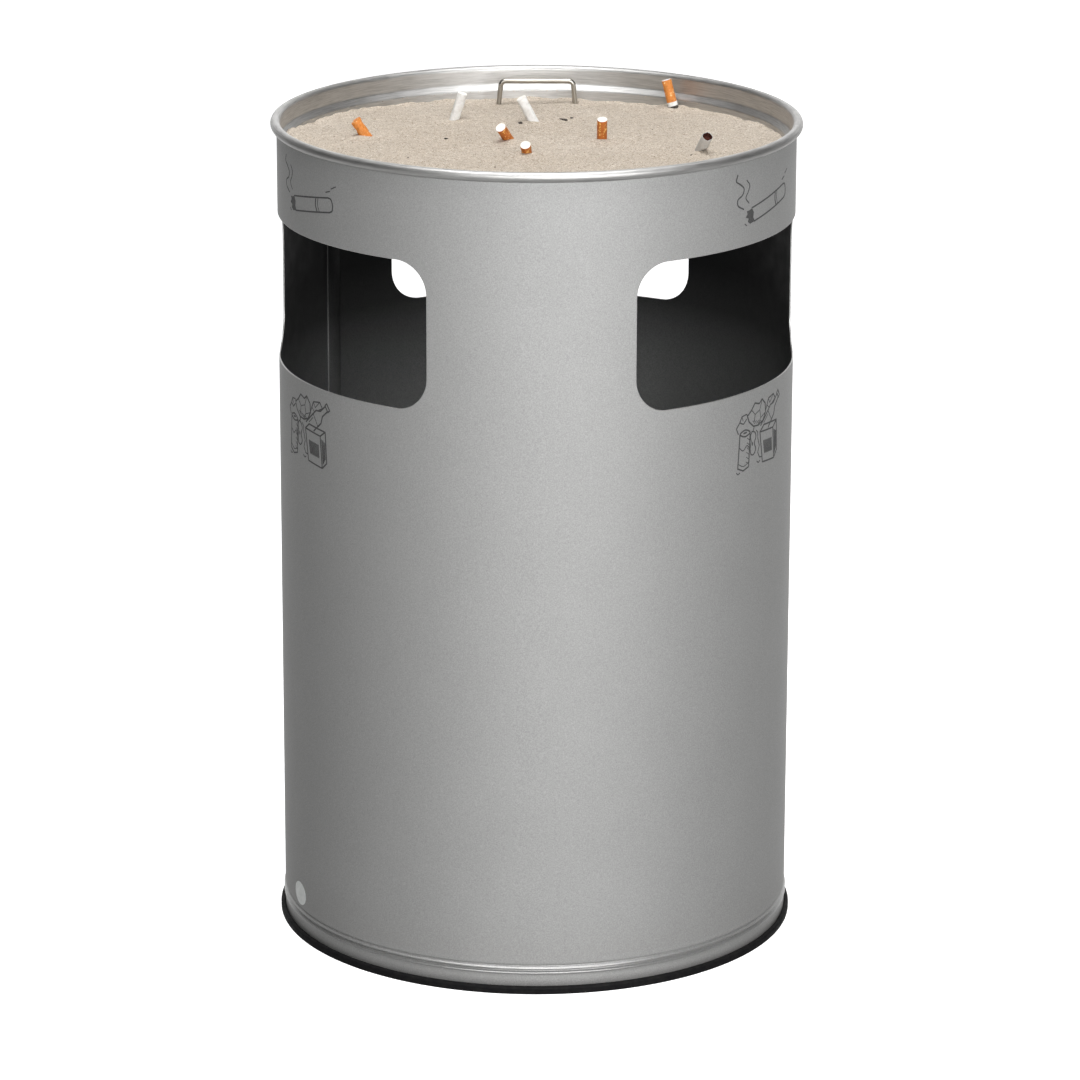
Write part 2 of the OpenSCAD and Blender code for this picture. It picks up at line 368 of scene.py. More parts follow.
def steel_material(name, base, rough, brush_z=None, spread=0.1, dark=0.80, light=1.10):
    # drawn or turned steel: fine streaks along the surface, small scuffs
    m = Mat(name, base, rough, 1.0)
    streak = m.noise(60, 4.0, 0.6, vec=m.coords((1, 1, 30) if brush_z is None else brush_z))
    dark = tuple(x * dark for x in base)
    light = tuple(min(1, x * light) for x in base)
    m.color(m.ramp(streak, [(0.25, dark), (0.55, base), (0.85, light)]))
    m.rough(m.mapped(m.noise(140, 3.0), 0.25, 0.75, rough - spread / 2, rough + spread / 2))
    m.bump(m.noise(900, 2.0, vec=m.coords((0.15, 0.15, 1.0) if brush_z is None else brush_z)), 0.00003, 0.35)
    return m.m


def sand_material():
    # dry quartz sand: grains about 0.6 mm, mostly pale, some amber and some dark
    m = Mat("sand", (0.58, 0.49, 0.38), 0.9, 0.0, Specular_IOR_Level=0.25)
    cell = m.cells(1450, "Color")
    sep = m.nt.nodes.new("ShaderNodeSeparateColor")
    m.link(cell, sep.inputs[0])
    c = m.ramp(sep.outputs[0], [(0.0, (0.24, 0.195, 0.15)), (0.06, (0.37, 0.31, 0.25)), (0.22, (0.505, 0.435, 0.36)),
                                (0.62, (0.56, 0.49, 0.41)), (0.86, (0.63, 0.56, 0.475)), (1.0, (0.76, 0.71, 0.645))])
    c = m.mix(1.0, c, m.ramp(m.noise(240, 4.0, 0.7), [(0.28, (0.80, 0.79, 0.78)), (0.6, (1, 1, 1))]), "MULTIPLY")
    c = m.mix(1.0, c, m.ramp(m.noise(14, 3.0, 0.6), [(0.3, (0.93, 0.915, 0.895)), (0.7, (1.0, 1.0, 1.0))]), "MULTIPLY")
    m.color(c)
    m.bump(m.cells(1450, "Distance"), -0.0004, 0.6)
    m.bump(m.noise(330, 3.0, 0.65), 0.0008, 0.55)
    return m.m


def cork_material(name, base, pale, spots):
    # tipping paper: orange brown with a pale cork fleck
    m = Mat(name, base, 0.62, 0.0, Specular_IOR_Level=0.3)
    fleck = m.noise(520, 2.0, 0.65, vec=m.coords((1, 1, 0.6)))
    dark = tuple(x * 0.72 for x in base)
    c = m.ramp(fleck, [(0.30, dark), (0.46, base), (1 - spots, base), (min(0.98, 1.06 - spots), pale)])
    m.color(m.mix(1.0, c, m.ramp(m.noise(90, 2.0), [(0.3, 0.86), (0.7, 1.0)]), "MULTIPLY"))
    m.bump(m.noise(500, 2.0), 0.00015, 0.5)
    return m.m


def paper_material(name="white_paper", tone=(1, 1, 1)):
    m = Mat(name, tuple(0.86 * t for t in tone), 0.75, 0.0, Specular_IOR_Level=0.3)
    low, mid, high = (tuple(a * b for a, b in zip(c, tone)) for c in ((0.68, 0.67, 0.65), (0.80, 0.80, 0.79), (0.87, 0.87, 0.86)))
    m.color(m.mix(1.0, m.ramp(m.noise(420, 4.0, 0.7), [(0.3, low), (0.55, mid), (0.8, high)]),
                  m.ramp(m.noise(70, 2.0), [(0.25, (0.91, 0.90, 0.88)), (0.6, (1, 1, 1))]), "MULTIPLY"))
    m.bump(m.noise(300, 3.0, 0.6), 0.0003, 0.6)
    return m.m


def fibre_material():
    # end of a filter: cut fibres, flecked slightly brown
    m = Mat("filter_fibre", (0.86, 0.84, 0.79), 0.9, 0.0, Specular_IOR_Level=0.15)
    m.color(m.ramp(m.noise(1500, 3.0, 0.7), [(0.25, (0.68, 0.64, 0.56)), (0.55, (0.88, 0.86, 0.82)), (0.8, (0.95, 0.94, 0.92))]))
    m.bump(m.noise(1700, 2.0), 0.0002, 0.8)
    return m.m


def ash_material(name, dark, light):
    m = Mat(name, dark, 0.95, 0.0, Specular_IOR_Level=0.15)
    m.color(m.ramp(m.noise(900, 4.0, 0.75), [(0.35, dark), (0.7, light)]))
    m.bump(m.noise(1100, 3.0), 0.0004, 0.9)
    return m.m


def ink_material():
    m = Mat("print_ink", (0.07, 0.07, 0.07), 0.55, 0.0, Specular_IOR_Level=0.35)
    m.color(m.ramp(m.noise(1300, 2.0), [(0.3, (0.052, 0.052, 0.052)), (0.7, (0.092, 0.092, 0.092))]))
    m.rough(m.mapped(m.noise(400, 2.0), 0.3, 0.7, 0.48, 0.62))
    m.bump(m.noise(1500, 2.0), 0.00003, 0.4)
    return m.m


def cut_edge_material():
    # the sheet's cut edge under the coat: smoother, so that it catches the light
    m = Mat("cut_edge", (0.60, 0.60, 0.59), 0.40, 0.8)
    m.color(m.ramp(m.noise(700, 2.0, 0.6), [(0.3, (0.50, 0.50, 0.49)), (0.7, (0.68, 0.68, 0.67))]))
    m.bump(m.noise(900, 2.0), 0.00004, 0.4)
    return m.m


def seam_edge_material():
    # the seam's inner cut edge, bare metal; its colour holds painted light, lighter lower down where the light through
    # the openings falls, and painted shade, dark near the bowl
    m = Mat("seam_edge", (0.2, 0.2, 0.2), 0.55, 0.4)
    painted_light_by_height = m.ramp(m.height(), [(0.36, (0.62, 0.62, 0.62)), (0.42, (0.48, 0.48, 0.48)), (0.46, (0.10, 0.10, 0.10))])
    m.color(m.mix(1.0, painted_light_by_height, m.ramp(m.noise(500, 3.0, 0.6), [(0.3, 0.7), (0.7, 1.0)]), "MULTIPLY"))
    m.bump(m.noise(700, 2.0), 0.00006, 0.4)
    return m.m


COAT = coat_material()
EDGE = cut_edge_material()
SEAM_EDGE = seam_edge_material()
INSIDE = inside_material()
RUBBER = rubber_material()
# painted shade: the liner and its ears get a darker copy of the galvanised finish, tone 0.36 against the floor pan's
# 0.8, for the shade inside the bin
ZINC = galvanised_material(tone=0.36, dull=0.26)
ZINC_PAN = galvanised_material("galvanised_pan", 0.8)
RIVET = steel_material("rivet_steel", (0.62, 0.62, 0.62), 0.34)
WIRE = steel_material("wire_steel", (0.30, 0.295, 0.28), 0.45, brush_z=(0.4, 6, 6))
GRIP = steel_material("grip_wire", (0.43, 0.41, 0.37), 0.30, brush_z=(1, 1, 0.4))
BOWL = steel_material("bowl_metal", (0.545, 0.54, 0.53), 0.50, spread=0.10, dark=0.66, light=1.12)
SIEVE = steel_material("sieve_steel", (0.58, 0.58, 0.57), 0.34, brush_z=(0.3, 8, 1))
SAND = sand_material()
CORK_A = cork_material("cork_paper", (0.72, 0.255, 0.055), (0.90, 0.60, 0.27), 0.40)
CORK_B = cork_material("cork_paper_rust", (0.52, 0.155, 0.032), (0.90, 0.52, 0.15), 0.43)
PAPER = paper_material()
ASHY = paper_material("ashy_paper", (0.74, 0.735, 0.73))
FIBRE = fibre_material()
ASH = ash_material("ash", (0.020, 0.016, 0.014), (0.12, 0.105, 0.095))
EMBER = ash_material("ash_mouth", (0.022, 0.007, 0.006), (0.10, 0.03, 0.02))
INK = ink_material()


# ---------------------------------------------------------------- body shell
def bump_r(z, c, w, h):
    return h * np.exp(-((z - c) / w) ** 2)


def shell_r(z):
    z = np.asarray(z, float)
    return (R + bump_r(z, SWAGE + 3.6, 0.9, -1.1) + bump_r(z, SWAGE + 1.7, 0.75, 1.0)
            + bump_r(z, SWAGE - 0.1, 0.8, -1.1) + bump_r(z, SWAGE - 1.9, 0.75, 1.0))


def shell_slope(z):
    return (shell_r(np.asarray(z) + 0.01) - shell_r(np.asarray(z) - 0.01)) / 0.02


GROOVE = [(-0.55, 0.0), (-0.22, 0.42), (0.22, 0.42), (0.55, 0.0)]  # joint line of the seam: offset along the wall, depth


def body_shell():
    """The sheet as one closed skin. It is laid out flat, with its holes, and rolled round."""
    seg = 400
    cols = [360.0 * i / seg for i in range(seg)]
    near = math.degrees(1.2 / R)
    cols = [c for c in cols if abs(c - LAP - 2.6) > near]
    joint = [LAP + 2.6 + math.degrees(o / R) for o, _ in GROOVE]
    depth = {c: d for c, (_, d) in zip(joint, GROOVE)}
    cols = sorted(cols + joint)
    n = len(cols)
    s_of = np.array(cols + [360.0]) * math.pi / 180 * R
    dip = np.array([depth.get(c, 0.0) for c in cols])

    z_low = [SHELL_LOW, 5.0, 9.0] + list(np.arange(13.0, 23.6, 0.42)) + [25.0, 28.0] + list(np.arange(48.0, 425.0, 20.0)) + [430.0]
    z_mid0, z_mid1 = 430.0, 570.0
    z_high = [570.0, 590.0, 605.0, SHELL_TOP]

    # the middle band, as a flat drawing
    pts, edges = [], []
    mids = list(np.arange(z_mid0 + 5, z_mid1 - 2, 5.0))
    cx = [math.radians(a) * R for a in OPENINGS]

    def hole(s, z, grow):
        """Signed distance outside the nearest opening."""
        best = np.full(np.shape(s), 1e9)
        for c in cx:
            qx = np.abs(s - c) - (OPEN_HALF - OPEN_R)
            qz = np.abs(z - (OPEN_LOW + OPEN_H / 2)) - (OPEN_H / 2 - OPEN_R)
            d = np.hypot(np.maximum(qx, 0), np.maximum(qz, 0)) + np.minimum(np.maximum(qx, qz), 0) - OPEN_R
            best = np.minimum(best, d)
        return best - grow

    grid = {}
    for k in range(n + 1):
        for z in [z_mid0] + mids + [z_mid1]:
            if z in (z_mid0, z_mid1) or hole(s_of[k], z, 0.45) > 1.4:
                grid[k, z] = len(pts)
                pts.append((s_of[k], z))
    for z in (z_mid0, z_mid1):
        edges += [(grid[k, z], grid[k + 1, z]) for k in range(n)]
    for k in [0, n] + [i for i, c in enumerate(cols) if c in depth]:
        run = [z for z in [z_mid0] + mids + [z_mid1] if (k, z) in grid]
        edges += [(grid[k, a], grid[k, b]) for a, b in zip(run, run[1:])]

    def outline(c, off):
        """Points round an opening, off millimetres outside its edge."""
        out = []
        for q in range(4):
            sx, sz = (1, 1, -1, -1)[q], (1, -1, -1, 1)[q]
            a0 = (90, 0, -90, -180)[q]
            cxq = c + sx * (OPEN_HALF - OPEN_R)
            czq = OPEN_LOW + OPEN_H / 2 + sz * (OPEN_H / 2 - OPEN_R)
            for i in range(25):
                a = math.radians(a0 - 90 * i / 24)
                out.append((cxq + (OPEN_R + off) * math.cos(a), czq + (OPEN_R + off) * math.sin(a)))
            b = out[-1]
            nx = (1, -1, -1, 1)[q]
            # straight run to the next corner
            if q in (0, 2):
                m, length = 24, OPEN_H - 2 * OPEN_R
                for i in range(1, m):
                    out.append((b[0], b[1] - (1 if q == 0 else -1) * length * i / m))
            else:
                m, length = 80, 2 * (OPEN_HALF - OPEN_R)
                for i in range(1, m):
                    out.append((b[0] - (1 if q == 1 else -1) * length * i / m, b[1]))
        return out

    loops = []
    for c in cx:
        o = outline(c, 0.4)
        start = len(pts)
        pts += o
        m = len(o)
        edges += [(start + i, start + (i + 1) % m) for i in range(m)]
        loops.append(list(range(start, start + m)))
    res = delaunay_2d_cdt([Vector(p) for p in pts], edges, [], 0, 1e-5)
    out_co = [tuple(v) for v in res[0]]
    back = {}
    for i, src in enumerate(res[3]):
        for s in src:
            back[s] = i
    tris = []
    for f in res[2]:
        cs = np.mean([out_co[i] for i in f], 0)
        if hole(cs[0], cs[1], 0.4) > 0:
            tris.append(list(f))

    # flat points: (s, z), shared by both faces of the sheet
    flat, key = [], {}

    def point(s, z, d=0.0):
        k = (round((s % (TAU * R)) * 50) if abs(s - TAU * R) > 1e-3 else 0, round(z * 50))
        if k not in key:
            key[k] = len(flat)
            flat.append((s % (TAU * R) if abs(s - TAU * R) > 1e-3 else 0.0, z, d))
        return key[k]

    def dip_at(s):
        i = int(np.argmin(np.abs(s_of[:n] - s)))
        return float(dip[i]) if abs(s_of[i] - s) < 1e-3 else 0.0

    faces = []
    for rows in (z_low, z_high):
        for a, b in zip(rows, rows[1:]):
            for k in range(n):
                faces.append([point(s_of[k], a, dip[k]), point(s_of[k + 1], a, dip[(k + 1) % n]),
                              point(s_of[k + 1], b, dip[(k + 1) % n]), point(s_of[k], b, dip[k])])
    band = [point(c[0], c[1], dip_at(c[0])) for c in out_co]
    for t in tris:
        a, b, c = (out_co[i] for i in t)
        if (b[0] - a[0]) * (c[1] - a[1]) - (b[1] - a[1]) * (c[0] - a[0]) < 0:
            t = t[::-1]
        faces.append([band[i] for i in t])

    flat = np.array(flat)
    ang = flat[:, 0] / R
    ro = shell_r(flat[:, 1])
    ri = ro - WALL

    def ring(r, a, z):
        return np.stack([r * np.sin(a), -r * np.cos(a), z], 1)

    verts = [ring(ro - flat[:, 2], ang, flat[:, 1]), ring(ri, ang, flat[:, 1])]
    N = len(flat)
    all_faces = [f for f in faces] + [[i + N for i in f[::-1]] for f in faces]
    mat = [0] * len(faces) + [1] * len(faces)
    flat_kind = [1] * len(faces) + [2] * len(faces)
    count = 2 * N

    # rounded edges: top, bottom and round each opening
    def edge_strip(outer_ids, sections, slot=0):
        """sections: verts of each ring between the outer and the inner face, as arrays."""
        nonlocal count
        rings = [list(outer_ids)]
        for sec in sections:
            verts.append(sec)
            rings.append(list(range(count, count + len(sec))))
            count += len(sec)
        rings.append([i + N for i in outer_ids])
        m = len(outer_ids)
        for a, b in zip(rings, rings[1:]):
            for i in range(m):
                j = (i + 1) % m
                all_faces.append([a[i], a[j], b[j], b[i]])
                mat.append(slot)
                flat_kind.append(0)

    a_cols = np.array(cols) * math.pi / 180
    top = [point(s_of[k], SHELL_TOP) for k in range(n)]
    low = [point(s_of[k], SHELL_LOW) for k in range(n)]
    for ids in (top, low[::-1]):
        aa = flat[ids][:, 0] / R
        z0 = flat[ids][:, 1]
        up = 1 if ids is top else -1
        edge_strip(ids, [ring(np.full(n, R - 0.25), aa, z0 + 0.0 * up), ring(np.full(n, R - WALL + 0.25), aa, z0)])
    for c, ids in zip(cx, loops):
        outer = [band[back[i]] for i in ids][::-1]
        secs = []
        for off, dr in ((0.20, 0.06), (0.06, 0.24), (0.0, 0.48), (0.0, WALL - 0.40), (0.16, WALL - 0.07)):
            o = np.array(outline(c, off))[::-1]
            secs.append(ring(R - dr, o[:, 0] / R, o[:, 1]))
        edge_strip(outer, secs, 2)
    verts = np.concatenate(verts)
    ob = new_object("body_shell_skin", verts, all_faces, [COAT, INSIDE, EDGE], mat)
    me = ob.data
    # true normals on both faces of the sheet, so that the holes leave no mark in the shading
    li = np.zeros(len(me.loops), np.int32)
    me.loops.foreach_get("vertex_index", li)
    totals = np.zeros(len(me.polygons), np.int32)
    me.polygons.foreach_get("loop_total", totals)
    kind = np.repeat(np.array(flat_kind), totals)
    co = verts[li]
    a = np.arctan2(co[:, 0], -co[:, 1])
    slope = shell_slope(co[:, 2])
    nr = 1 / np.sqrt(1 + slope ** 2)
    nz = -slope * nr
    nrm = np.stack([nr * np.sin(a), -nr * np.cos(a), nz], 1)
    nrm[kind == 2] *= -1
    groove = np.concatenate([flat[:, 2], flat[:, 2], np.zeros(len(verts) - 2 * N)])[li] > 0
    face_groove = np.maximum.reduceat(groove.astype(int), np.concatenate([[0], np.cumsum(totals)[:-1]]))
    in_groove = np.repeat(face_groove, totals) > 0
    nrm[(kind == 0) | in_groove] = 0
    me.normals_split_custom_set(nrm.tolist())
    return ob


shell = body_shell()
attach(shell, "bin")
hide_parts("body_shell")


def wrap(u, v, r, angle, z):
    """A point of a flat drawing, u to the right and v up, on the body at an angle and a height."""
    a = math.radians(angle) + u / R
    return (r * math.sin(a), -r * math.cos(a), z + v)


def seam_lap():
    """The inner lap of the seam, its two bare cut edges and its weld spots."""
    z0, z1, half = 28.0, BOWL_FLOOR - 8, 7.5
    verts, faces, mats = [], [], []
    prof = [(-half, 1.05), (-half, 2.35), (-half + 0.25, 2.55), (0, 2.6), (half - 0.25, 2.55), (half, 2.35), (half, 1.05)]
    zs = [z0, z0 + 0.3] + list(np.arange(z0 + 12, z1 - 4, 12.0)) + [z1 - 0.3, z1]
    for i, z in enumerate(zs):
        t = 0.25 if i in (0, len(zs) - 1) else 0.0
        for u, d in prof:
            verts.append(wrap(u * (1 - t / 20), 0, R - min(d, 2.6 - t), LAP, z))
    m = len(prof)
    for i in range(len(zs) - 1):
        for k in range(m):
            a, b = i * m + k, i * m + (k + 1) % m
            faces.append([a, b, b + m, a + m])
            mats.append(1 if k in (0, m - 2) else 0)
    faces += [list(range(m))[::-1], [len(verts) - m + k for k in range(m)]]
    mats += [0, 0]
    ob = outward(new_object("seam_lap", verts, faces, [INSIDE, SEAM_EDGE], mats, sharp=40))
    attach(ob, "bin")
    verts, faces = [], []
    for j, z in enumerate(np.arange(z0 + 22, z1 - 10, 38.0)):
        base = len(verts)
        for r, h in ((2.6, 0.0), (2.2, 0.16), (1.5, 0.05), (0.7, -0.04 + 0.12)):
            for k in range(20):
                a = TAU * k / 20
                verts.append(wrap(r * math.cos(a), r * math.sin(a), R - 2.56 - h, LAP, z))
        verts.append(wrap(0, 0, R - 2.56 - 0.1, LAP, z))
        verts.append(wrap(0, 0, R - 2.2, LAP, z))
        for q in range(3):
            for k in range(20):
                a, b = base + q * 20 + k, base + q * 20 + (k + 1) % 20
                faces.append([a, b, b + 20, a + 20])
        for k in range(20):
            faces.append([base + 60 + k, base + 60 + (k + 1) % 20, base + 80])
            faces.append([base + (k + 1) % 20, base + k, base + 81])
    ob = outward(new_object("seam_welds", verts, faces, [INSIDE], sharp=50))
    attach(ob, "bin")


seam_lap()


# ---------------------------------------------------------------- foot
def foot_ring():
    ri = R - WALL - 3.2
    prof = [(ri + 0.5, 0.25), (ri + 1.2, 0.02)]
    prof += arc(RING_R - 1.1, 1.1, 1.08, -90, 0, 8)
    prof += arc(RING_R - 2.0, RING_H - 2.0, 1.98, 0, 90, 12)
    prof += arc(R + 0.75, RING_H - 0.45, 0.45, 90, 180, 5)
    prof += [(R + 0.18, 2.0), (R - WALL - 0.18, 2.0), (R - WALL - 0.18, RING_H - 0.9), (R - WALL - 0.6, RING_H - 0.52),
             (ri + 0.4, RING_H - 0.55), (ri, RING_H - 1.0), (ri, 0.8)]
    v, f = lathe(prof, 320)
    ob = outward(new_object("foot_ring", v, f, [RUBBER], sharp=48))
    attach(ob, "bin")
    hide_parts("base_ring")


foot_ring()


# ---------------------------------------------------------------- ash bowl
RIM_C, RIM_Z, RIM_RAD = RIM_OUT - 3.65, RIM_TOP - 3.68, 3.65
LOW_R = 188.2
STEP = RIM_TOP - 19.4


BOWL_LINE = [(0, BOWL_FLOOR), (60, BOWL_FLOOR), (120, BOWL_FLOOR), (160, BOWL_FLOOR)]
BOWL_LINE += arc(LOW_R - 14, BOWL_FLOOR + 14, 14, -90, 0, 14)
BOWL_LINE += arc(LOW_R + 2.5, STEP, 2.5, 180, 142, 7)
BOWL_LINE += arc(192.2 - 2.5, STEP + 6.2, 2.5, -38, 0, 7)
WALL_LINE = np.array([p for p in BOWL_LINE if p[0] > LOW_R - 0.5])
BOWL_LINE += arc(RIM_C, RIM_Z, RIM_RAD, 180, -100, 44)


def ash_bowl():
    line = BOWL_LINE
    prof = line + beside(line, 0.8)[::-1]
    prof = [(max(r, 0.0), z) for r, z in prof]
    v, f = lathe(prof, 384)
    ob = outward(new_object("ash_bowl_spun", v, f, [BOWL], sharp=50))
    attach(ob, "bowl")
    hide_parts("ash_bowl")


ash_bowl()

# ---------------------------------------------------------------- what stands in the sand
# x and y at the sand, lean in x and y over 10 mm of height, height of the end above the sand, kind, seed
BUTTS = [
    (-127, 20.8, -7.3, -0.7, 14, "crushed", 11),
    (-20, 11.2, -5.2, -8.6, 13.5, "rust", 12),
    (-7, -35.5, -1.4, -7.3, 9.1, "rust", 13),
    (49.2, 19.3, 0.0, -3.4, 16.9, "rust", 14),
    (105.9, 146.2, -2.7, 0.8, 20.2, "stub", 15),
    (-63.2, 96.4, 3.0, -0.5, 19.9, "white", 16),
    (-2.7, 87.4, -5.2, -1.2, 18.4, "white", 17),
    (122, -22.9, 2.9, -8.8, 14.9, "burnt", 18),
]
GRIP_W, GRIP_Y, GRIP_TOP, GRIP_R, SPLAY = 56.0, 165.0, SAND_Z + 15.5, 2.0, math.radians(6)


def turned(x, y):
    c, s = math.cos(TURN), math.sin(TURN)
    return x * c - y * s, x * s + y * c


def sand_height():
    w1, w2, w3, w4 = waves(1, 24, 70, 160), waves(2, 30, 22, 45), waves(3, 40, 8, 15), waves(4, 60, 3.2, 5.5)
    spots = []
    for x, y, lx, ly, h, kind, seed in BUTTS:
        tx, ty = turned(x, y)
        lx, ly = turned(lx / 10, ly / 10)
        spots.append((tx, ty, 2.0 if kind in ("rust", "stub", "burnt") else 1.3, 9.0, lx, ly))
    hx = GRIP_W / 2 + math.tan(SPLAY) * (GRIP_TOP - SAND_Z)
    for sx in (-1, 1):
        tx, ty = turned(sx * hx, GRIP_Y)
        spots.append((tx, ty, 0.9, 6.0, 0, 0))

    def at(x, y):
        r = np.hypot(x, y)
        h = 0.55 * w1(x, y) + 0.26 * w2(x, y) + 0.13 * w3(x, y) + 0.09 * w4(x, y)
        # lower at the back, heaped a little against the left of the wall
        h = h - 3.6 * np.clip(y / 180, 0, 1.1) ** 1.1 + 2.6 * np.clip(-x / 180, 0, 1.1) ** 1.4
        for sx, sy, up, wide, lx, ly in spots:
            dx, dy = x - sx, y - sy
            d = np.hypot(dx, dy)
            # a low heap pushed up on the side towards which the butt leans, and a small dip on the other
            side = (dx * lx + dy * ly) / (d + 1e-6) / (math.hypot(lx, ly) + 0.3)
            h = h + up * np.exp(-((d - 5.0) / wide) ** 2) * (0.75 + 0.4 * side) * (d > 0)
            h = h - 2.4 * np.exp(-(d / 3.0) ** 4)
        # the sand climbs the wall a little
        h = h + 0.8 * np.exp(-((188 - r) / 5.0)) + 0.25 * w2(x * 1.7 + 40, y * 1.7) * np.exp(-((188 - r) / 9.0))
        return h
    return at


SAND_AT = sand_height()
SAND_BASE = SAND_Z + 0.2


def sand_top(x, y):
    return SAND_BASE + SAND_AT(np.asarray(x, float), np.asarray(y, float))


def sand_body():
    n = 244
    t = np.linspace(-1, 1, n + 1)
    A, B = np.meshgrid(t, t, indexing="ij")
    with np.errstate(divide="ignore", invalid="ignore"):
        big = np.abs(A) >= np.abs(B)
        rr = np.where(big, A, B)
        ph = np.where(big, math.pi / 4 * np.divide(B, A, out=np.zeros_like(A), where=A != 0),
                      math.pi / 2 - math.pi / 4 * np.divide(A, B, out=np.zeros_like(A), where=B != 0))
    rad = LOW_R - 0.06
    X, Y = rad * rr * np.cos(ph), rad * rr * np.sin(ph)
    # the edge follows the wall, which steps out above the lower part
    ang = np.arctan2(Y, X)
    rim_z = sand_top(rad * np.cos(ang), rad * np.sin(ang))
    wall = np.interp(rim_z, WALL_LINE[:, 1], WALL_LINE[:, 0]) - 0.06
    grow = 1 + (wall / rad - 1) * np.abs(rr) ** 14
    X, Y = X * grow, Y * grow
    Z = sand_top(X, Y)
    verts = np.stack([X, Y, Z], -1).reshape(-1, 3)
    idx = np.arange((n + 1) ** 2).reshape(n + 1, n + 1)
    faces = np.stack([idx[:-1, :-1], idx[1:, :-1], idx[1:, 1:], idx[:-1, 1:]], -1).reshape(-1, 4).tolist()
    edge = list(idx[:, 0]) + list(idx[-1, 1:]) + list(idx[-2::-1, -1]) + list(idx[0, -2:0:-1])
    ang = np.arctan2(verts[edge][:, 1], verts[edge][:, 0])
    m = len(edge)
    low = PLATE_TOP + 0.35
    sections = [(rad, BOWL_FLOOR + 22), (rad, BOWL_FLOOR + 14.0)]
    sections += [(LOW_R - 14 + 13.9 * math.cos(math.radians(a)), BOWL_FLOOR + 14 - 13.9 * math.sin(math.radians(a))) for a in (20, 38, 54)]
    sections += [(LOW_R - 14 + math.sqrt(13.9 ** 2 - (BOWL_FLOOR + 14 - low) ** 2), low)]
    prev = edge
    edge_z = verts[edge][:, 2]
    verts = list(map(tuple, verts))
    cur = list(range(len(verts), len(verts) + m))
    verts += [(rad * math.cos(a), rad * math.sin(a), min(STEP - 0.2, z - 0.5)) for a, z in zip(ang, edge_z)]
    faces += [[prev[i], prev[(i + 1) % m], cur[(i + 1) % m], cur[i]] for i in range(m)]
    prev = cur
    for r, z in sections:
        cur = list(range(len(verts), len(verts) + m))
        verts += [(r * math.cos(a), r * math.sin(a), z) for a in ang]
        faces += [[prev[i], prev[(i + 1) % m], cur[(i + 1) % m], cur[i]] for i in range(m)]
        prev = cur
    c = len(verts)
    verts.append((0, 0, low))
    faces += [[prev[i], prev[(i + 1) % m], c] for i in range(m)]
    ob = outward(new_object("sand_fill", verts, faces, [SAND], sharp=60))
    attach(ob, "bowl")
    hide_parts("sand")


sand_body()


def loose_grains():
    """Grains thrown on the bowl's step and wall, and coarse grains lying on the sand."""
    rng = np.random.default_rng(7)
    verts, faces = [], []
    ico = bmesh.new()
    bmesh.ops.create_icosphere(ico, subdivisions=1, radius=1.0)
    base = np.array([v.co[:] for v in ico.verts])
    tri = [[v.index for v in f.verts] for f in ico.faces]
    ico.free()

    def grain(p, size):
        q = base * (1 + rng.uniform(-0.25, 0.25, (len(base), 1))) * size * rng.uniform(0.7, 1.2, 3)
        k = len(verts)
        verts.extend(map(tuple, q + np.array(p)))
        faces.extend([[i + k for i in t] for t in tri])

    for _ in range(620):
        a = rng.uniform(0, TAU)
        if rng.random() > 0.35 + 0.65 * (0.5 + 0.5 * math.cos(a - 2.5)):
            continue
        z = STEP + abs(rng.normal(0, 1.1))
        r = LOW_R + (z - STEP > 0.6) * min(2.6, (z - STEP) * 0.75)
        s = rng.uniform(0.22, 0.42)
        grain(((r - s * 0.5) * math.cos(a), (r - s * 0.5) * math.sin(a), z + s * 0.3), s)
    for _ in range(900):
        a, r = rng.uniform(0, TAU), 187 * math.sqrt(rng.uniform(0, 1))
        x, y = r * math.cos(a), r * math.sin(a)
        s = rng.uniform(0.3, 0.6)
        grain((x, y, float(sand_top(x, y)) + 0.1), s)
    ob = new_object("sand_grains", verts, faces, [SAND], smooth=True)
    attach(ob, "bowl")


loose_grains()


def ash_flakes():
    rng = np.random.default_rng(21)
    verts, faces = [], []

    def flake(x, y, length, width, turn, tall):
        z = float(sand_top(x, y))
        k = len(verts)
        m = 9
        for lev, (sc, dz) in enumerate(((0.7, -0.3), (1.0, tall * 0.3), (0.75, tall * 0.8), (0.25, tall))):
            for i in range(m):
                a = TAU * i / m
                w = 1 + 0.28 * math.sin(3 * a + turn * 5) + rng.uniform(-0.16, 0.16)
                px, py = length * sc * w * math.cos(a), width * sc * w * math.sin(a)
                c, s = math.cos(turn), math.sin(turn)
                verts.append((x + px * c - py * s, y + px * s + py * c, z + dz + rng.uniform(-0.05, 0.05)))
        for lev in range(3):
            for i in range(m):
                a, b = k + lev * m + i, k + lev * m + (i + 1) % m
                faces.append([a, b, b + m, a + m])
        faces.append([k + i for i in range(m)][::-1])
        faces.append([k + 3 * m + i for i in range(m)])

    for x, y, a, b, t, h in ((-68.7, 19.3, 1.5, 1.0, 0.4, 0.8), (-12.4, 79.5, 1.9, 1.5, 1.9, 1.2), (20.7, 95.1, 4.0, 1.3, -0.35, 1.1),
                             (26.7, 102.8, 1.3, 1.2, 0.2, 0.9), (-30.5, -79.0, 0.7, 0.6, 0.0, 0.4), (18.0, 97.5, 0.8, 0.6, 0.8, 0.5),
                             (88.0, 60.0, 0.6, 0.5, 1.2, 0.4), (-95.0, -60.0, 0.7, 0.5, 0.3, 0.4), (115.0, -35.5, 0.8, 0.7, 0.9, 0.5)):
        tx, ty = turned(x, y)
        flake(tx, ty, a, b, t, h)
    ob = outward(new_object("ash_flakes", verts, faces, [ASH], sharp=60))
    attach(ob, "bowl")


ash_flakes()


def frame_of(axis):
    axis = Vector(axis).normalized()
    side = axis.cross(Vector((0, 1, 0))).normalized()
    return axis, side, axis.cross(side).normalized()


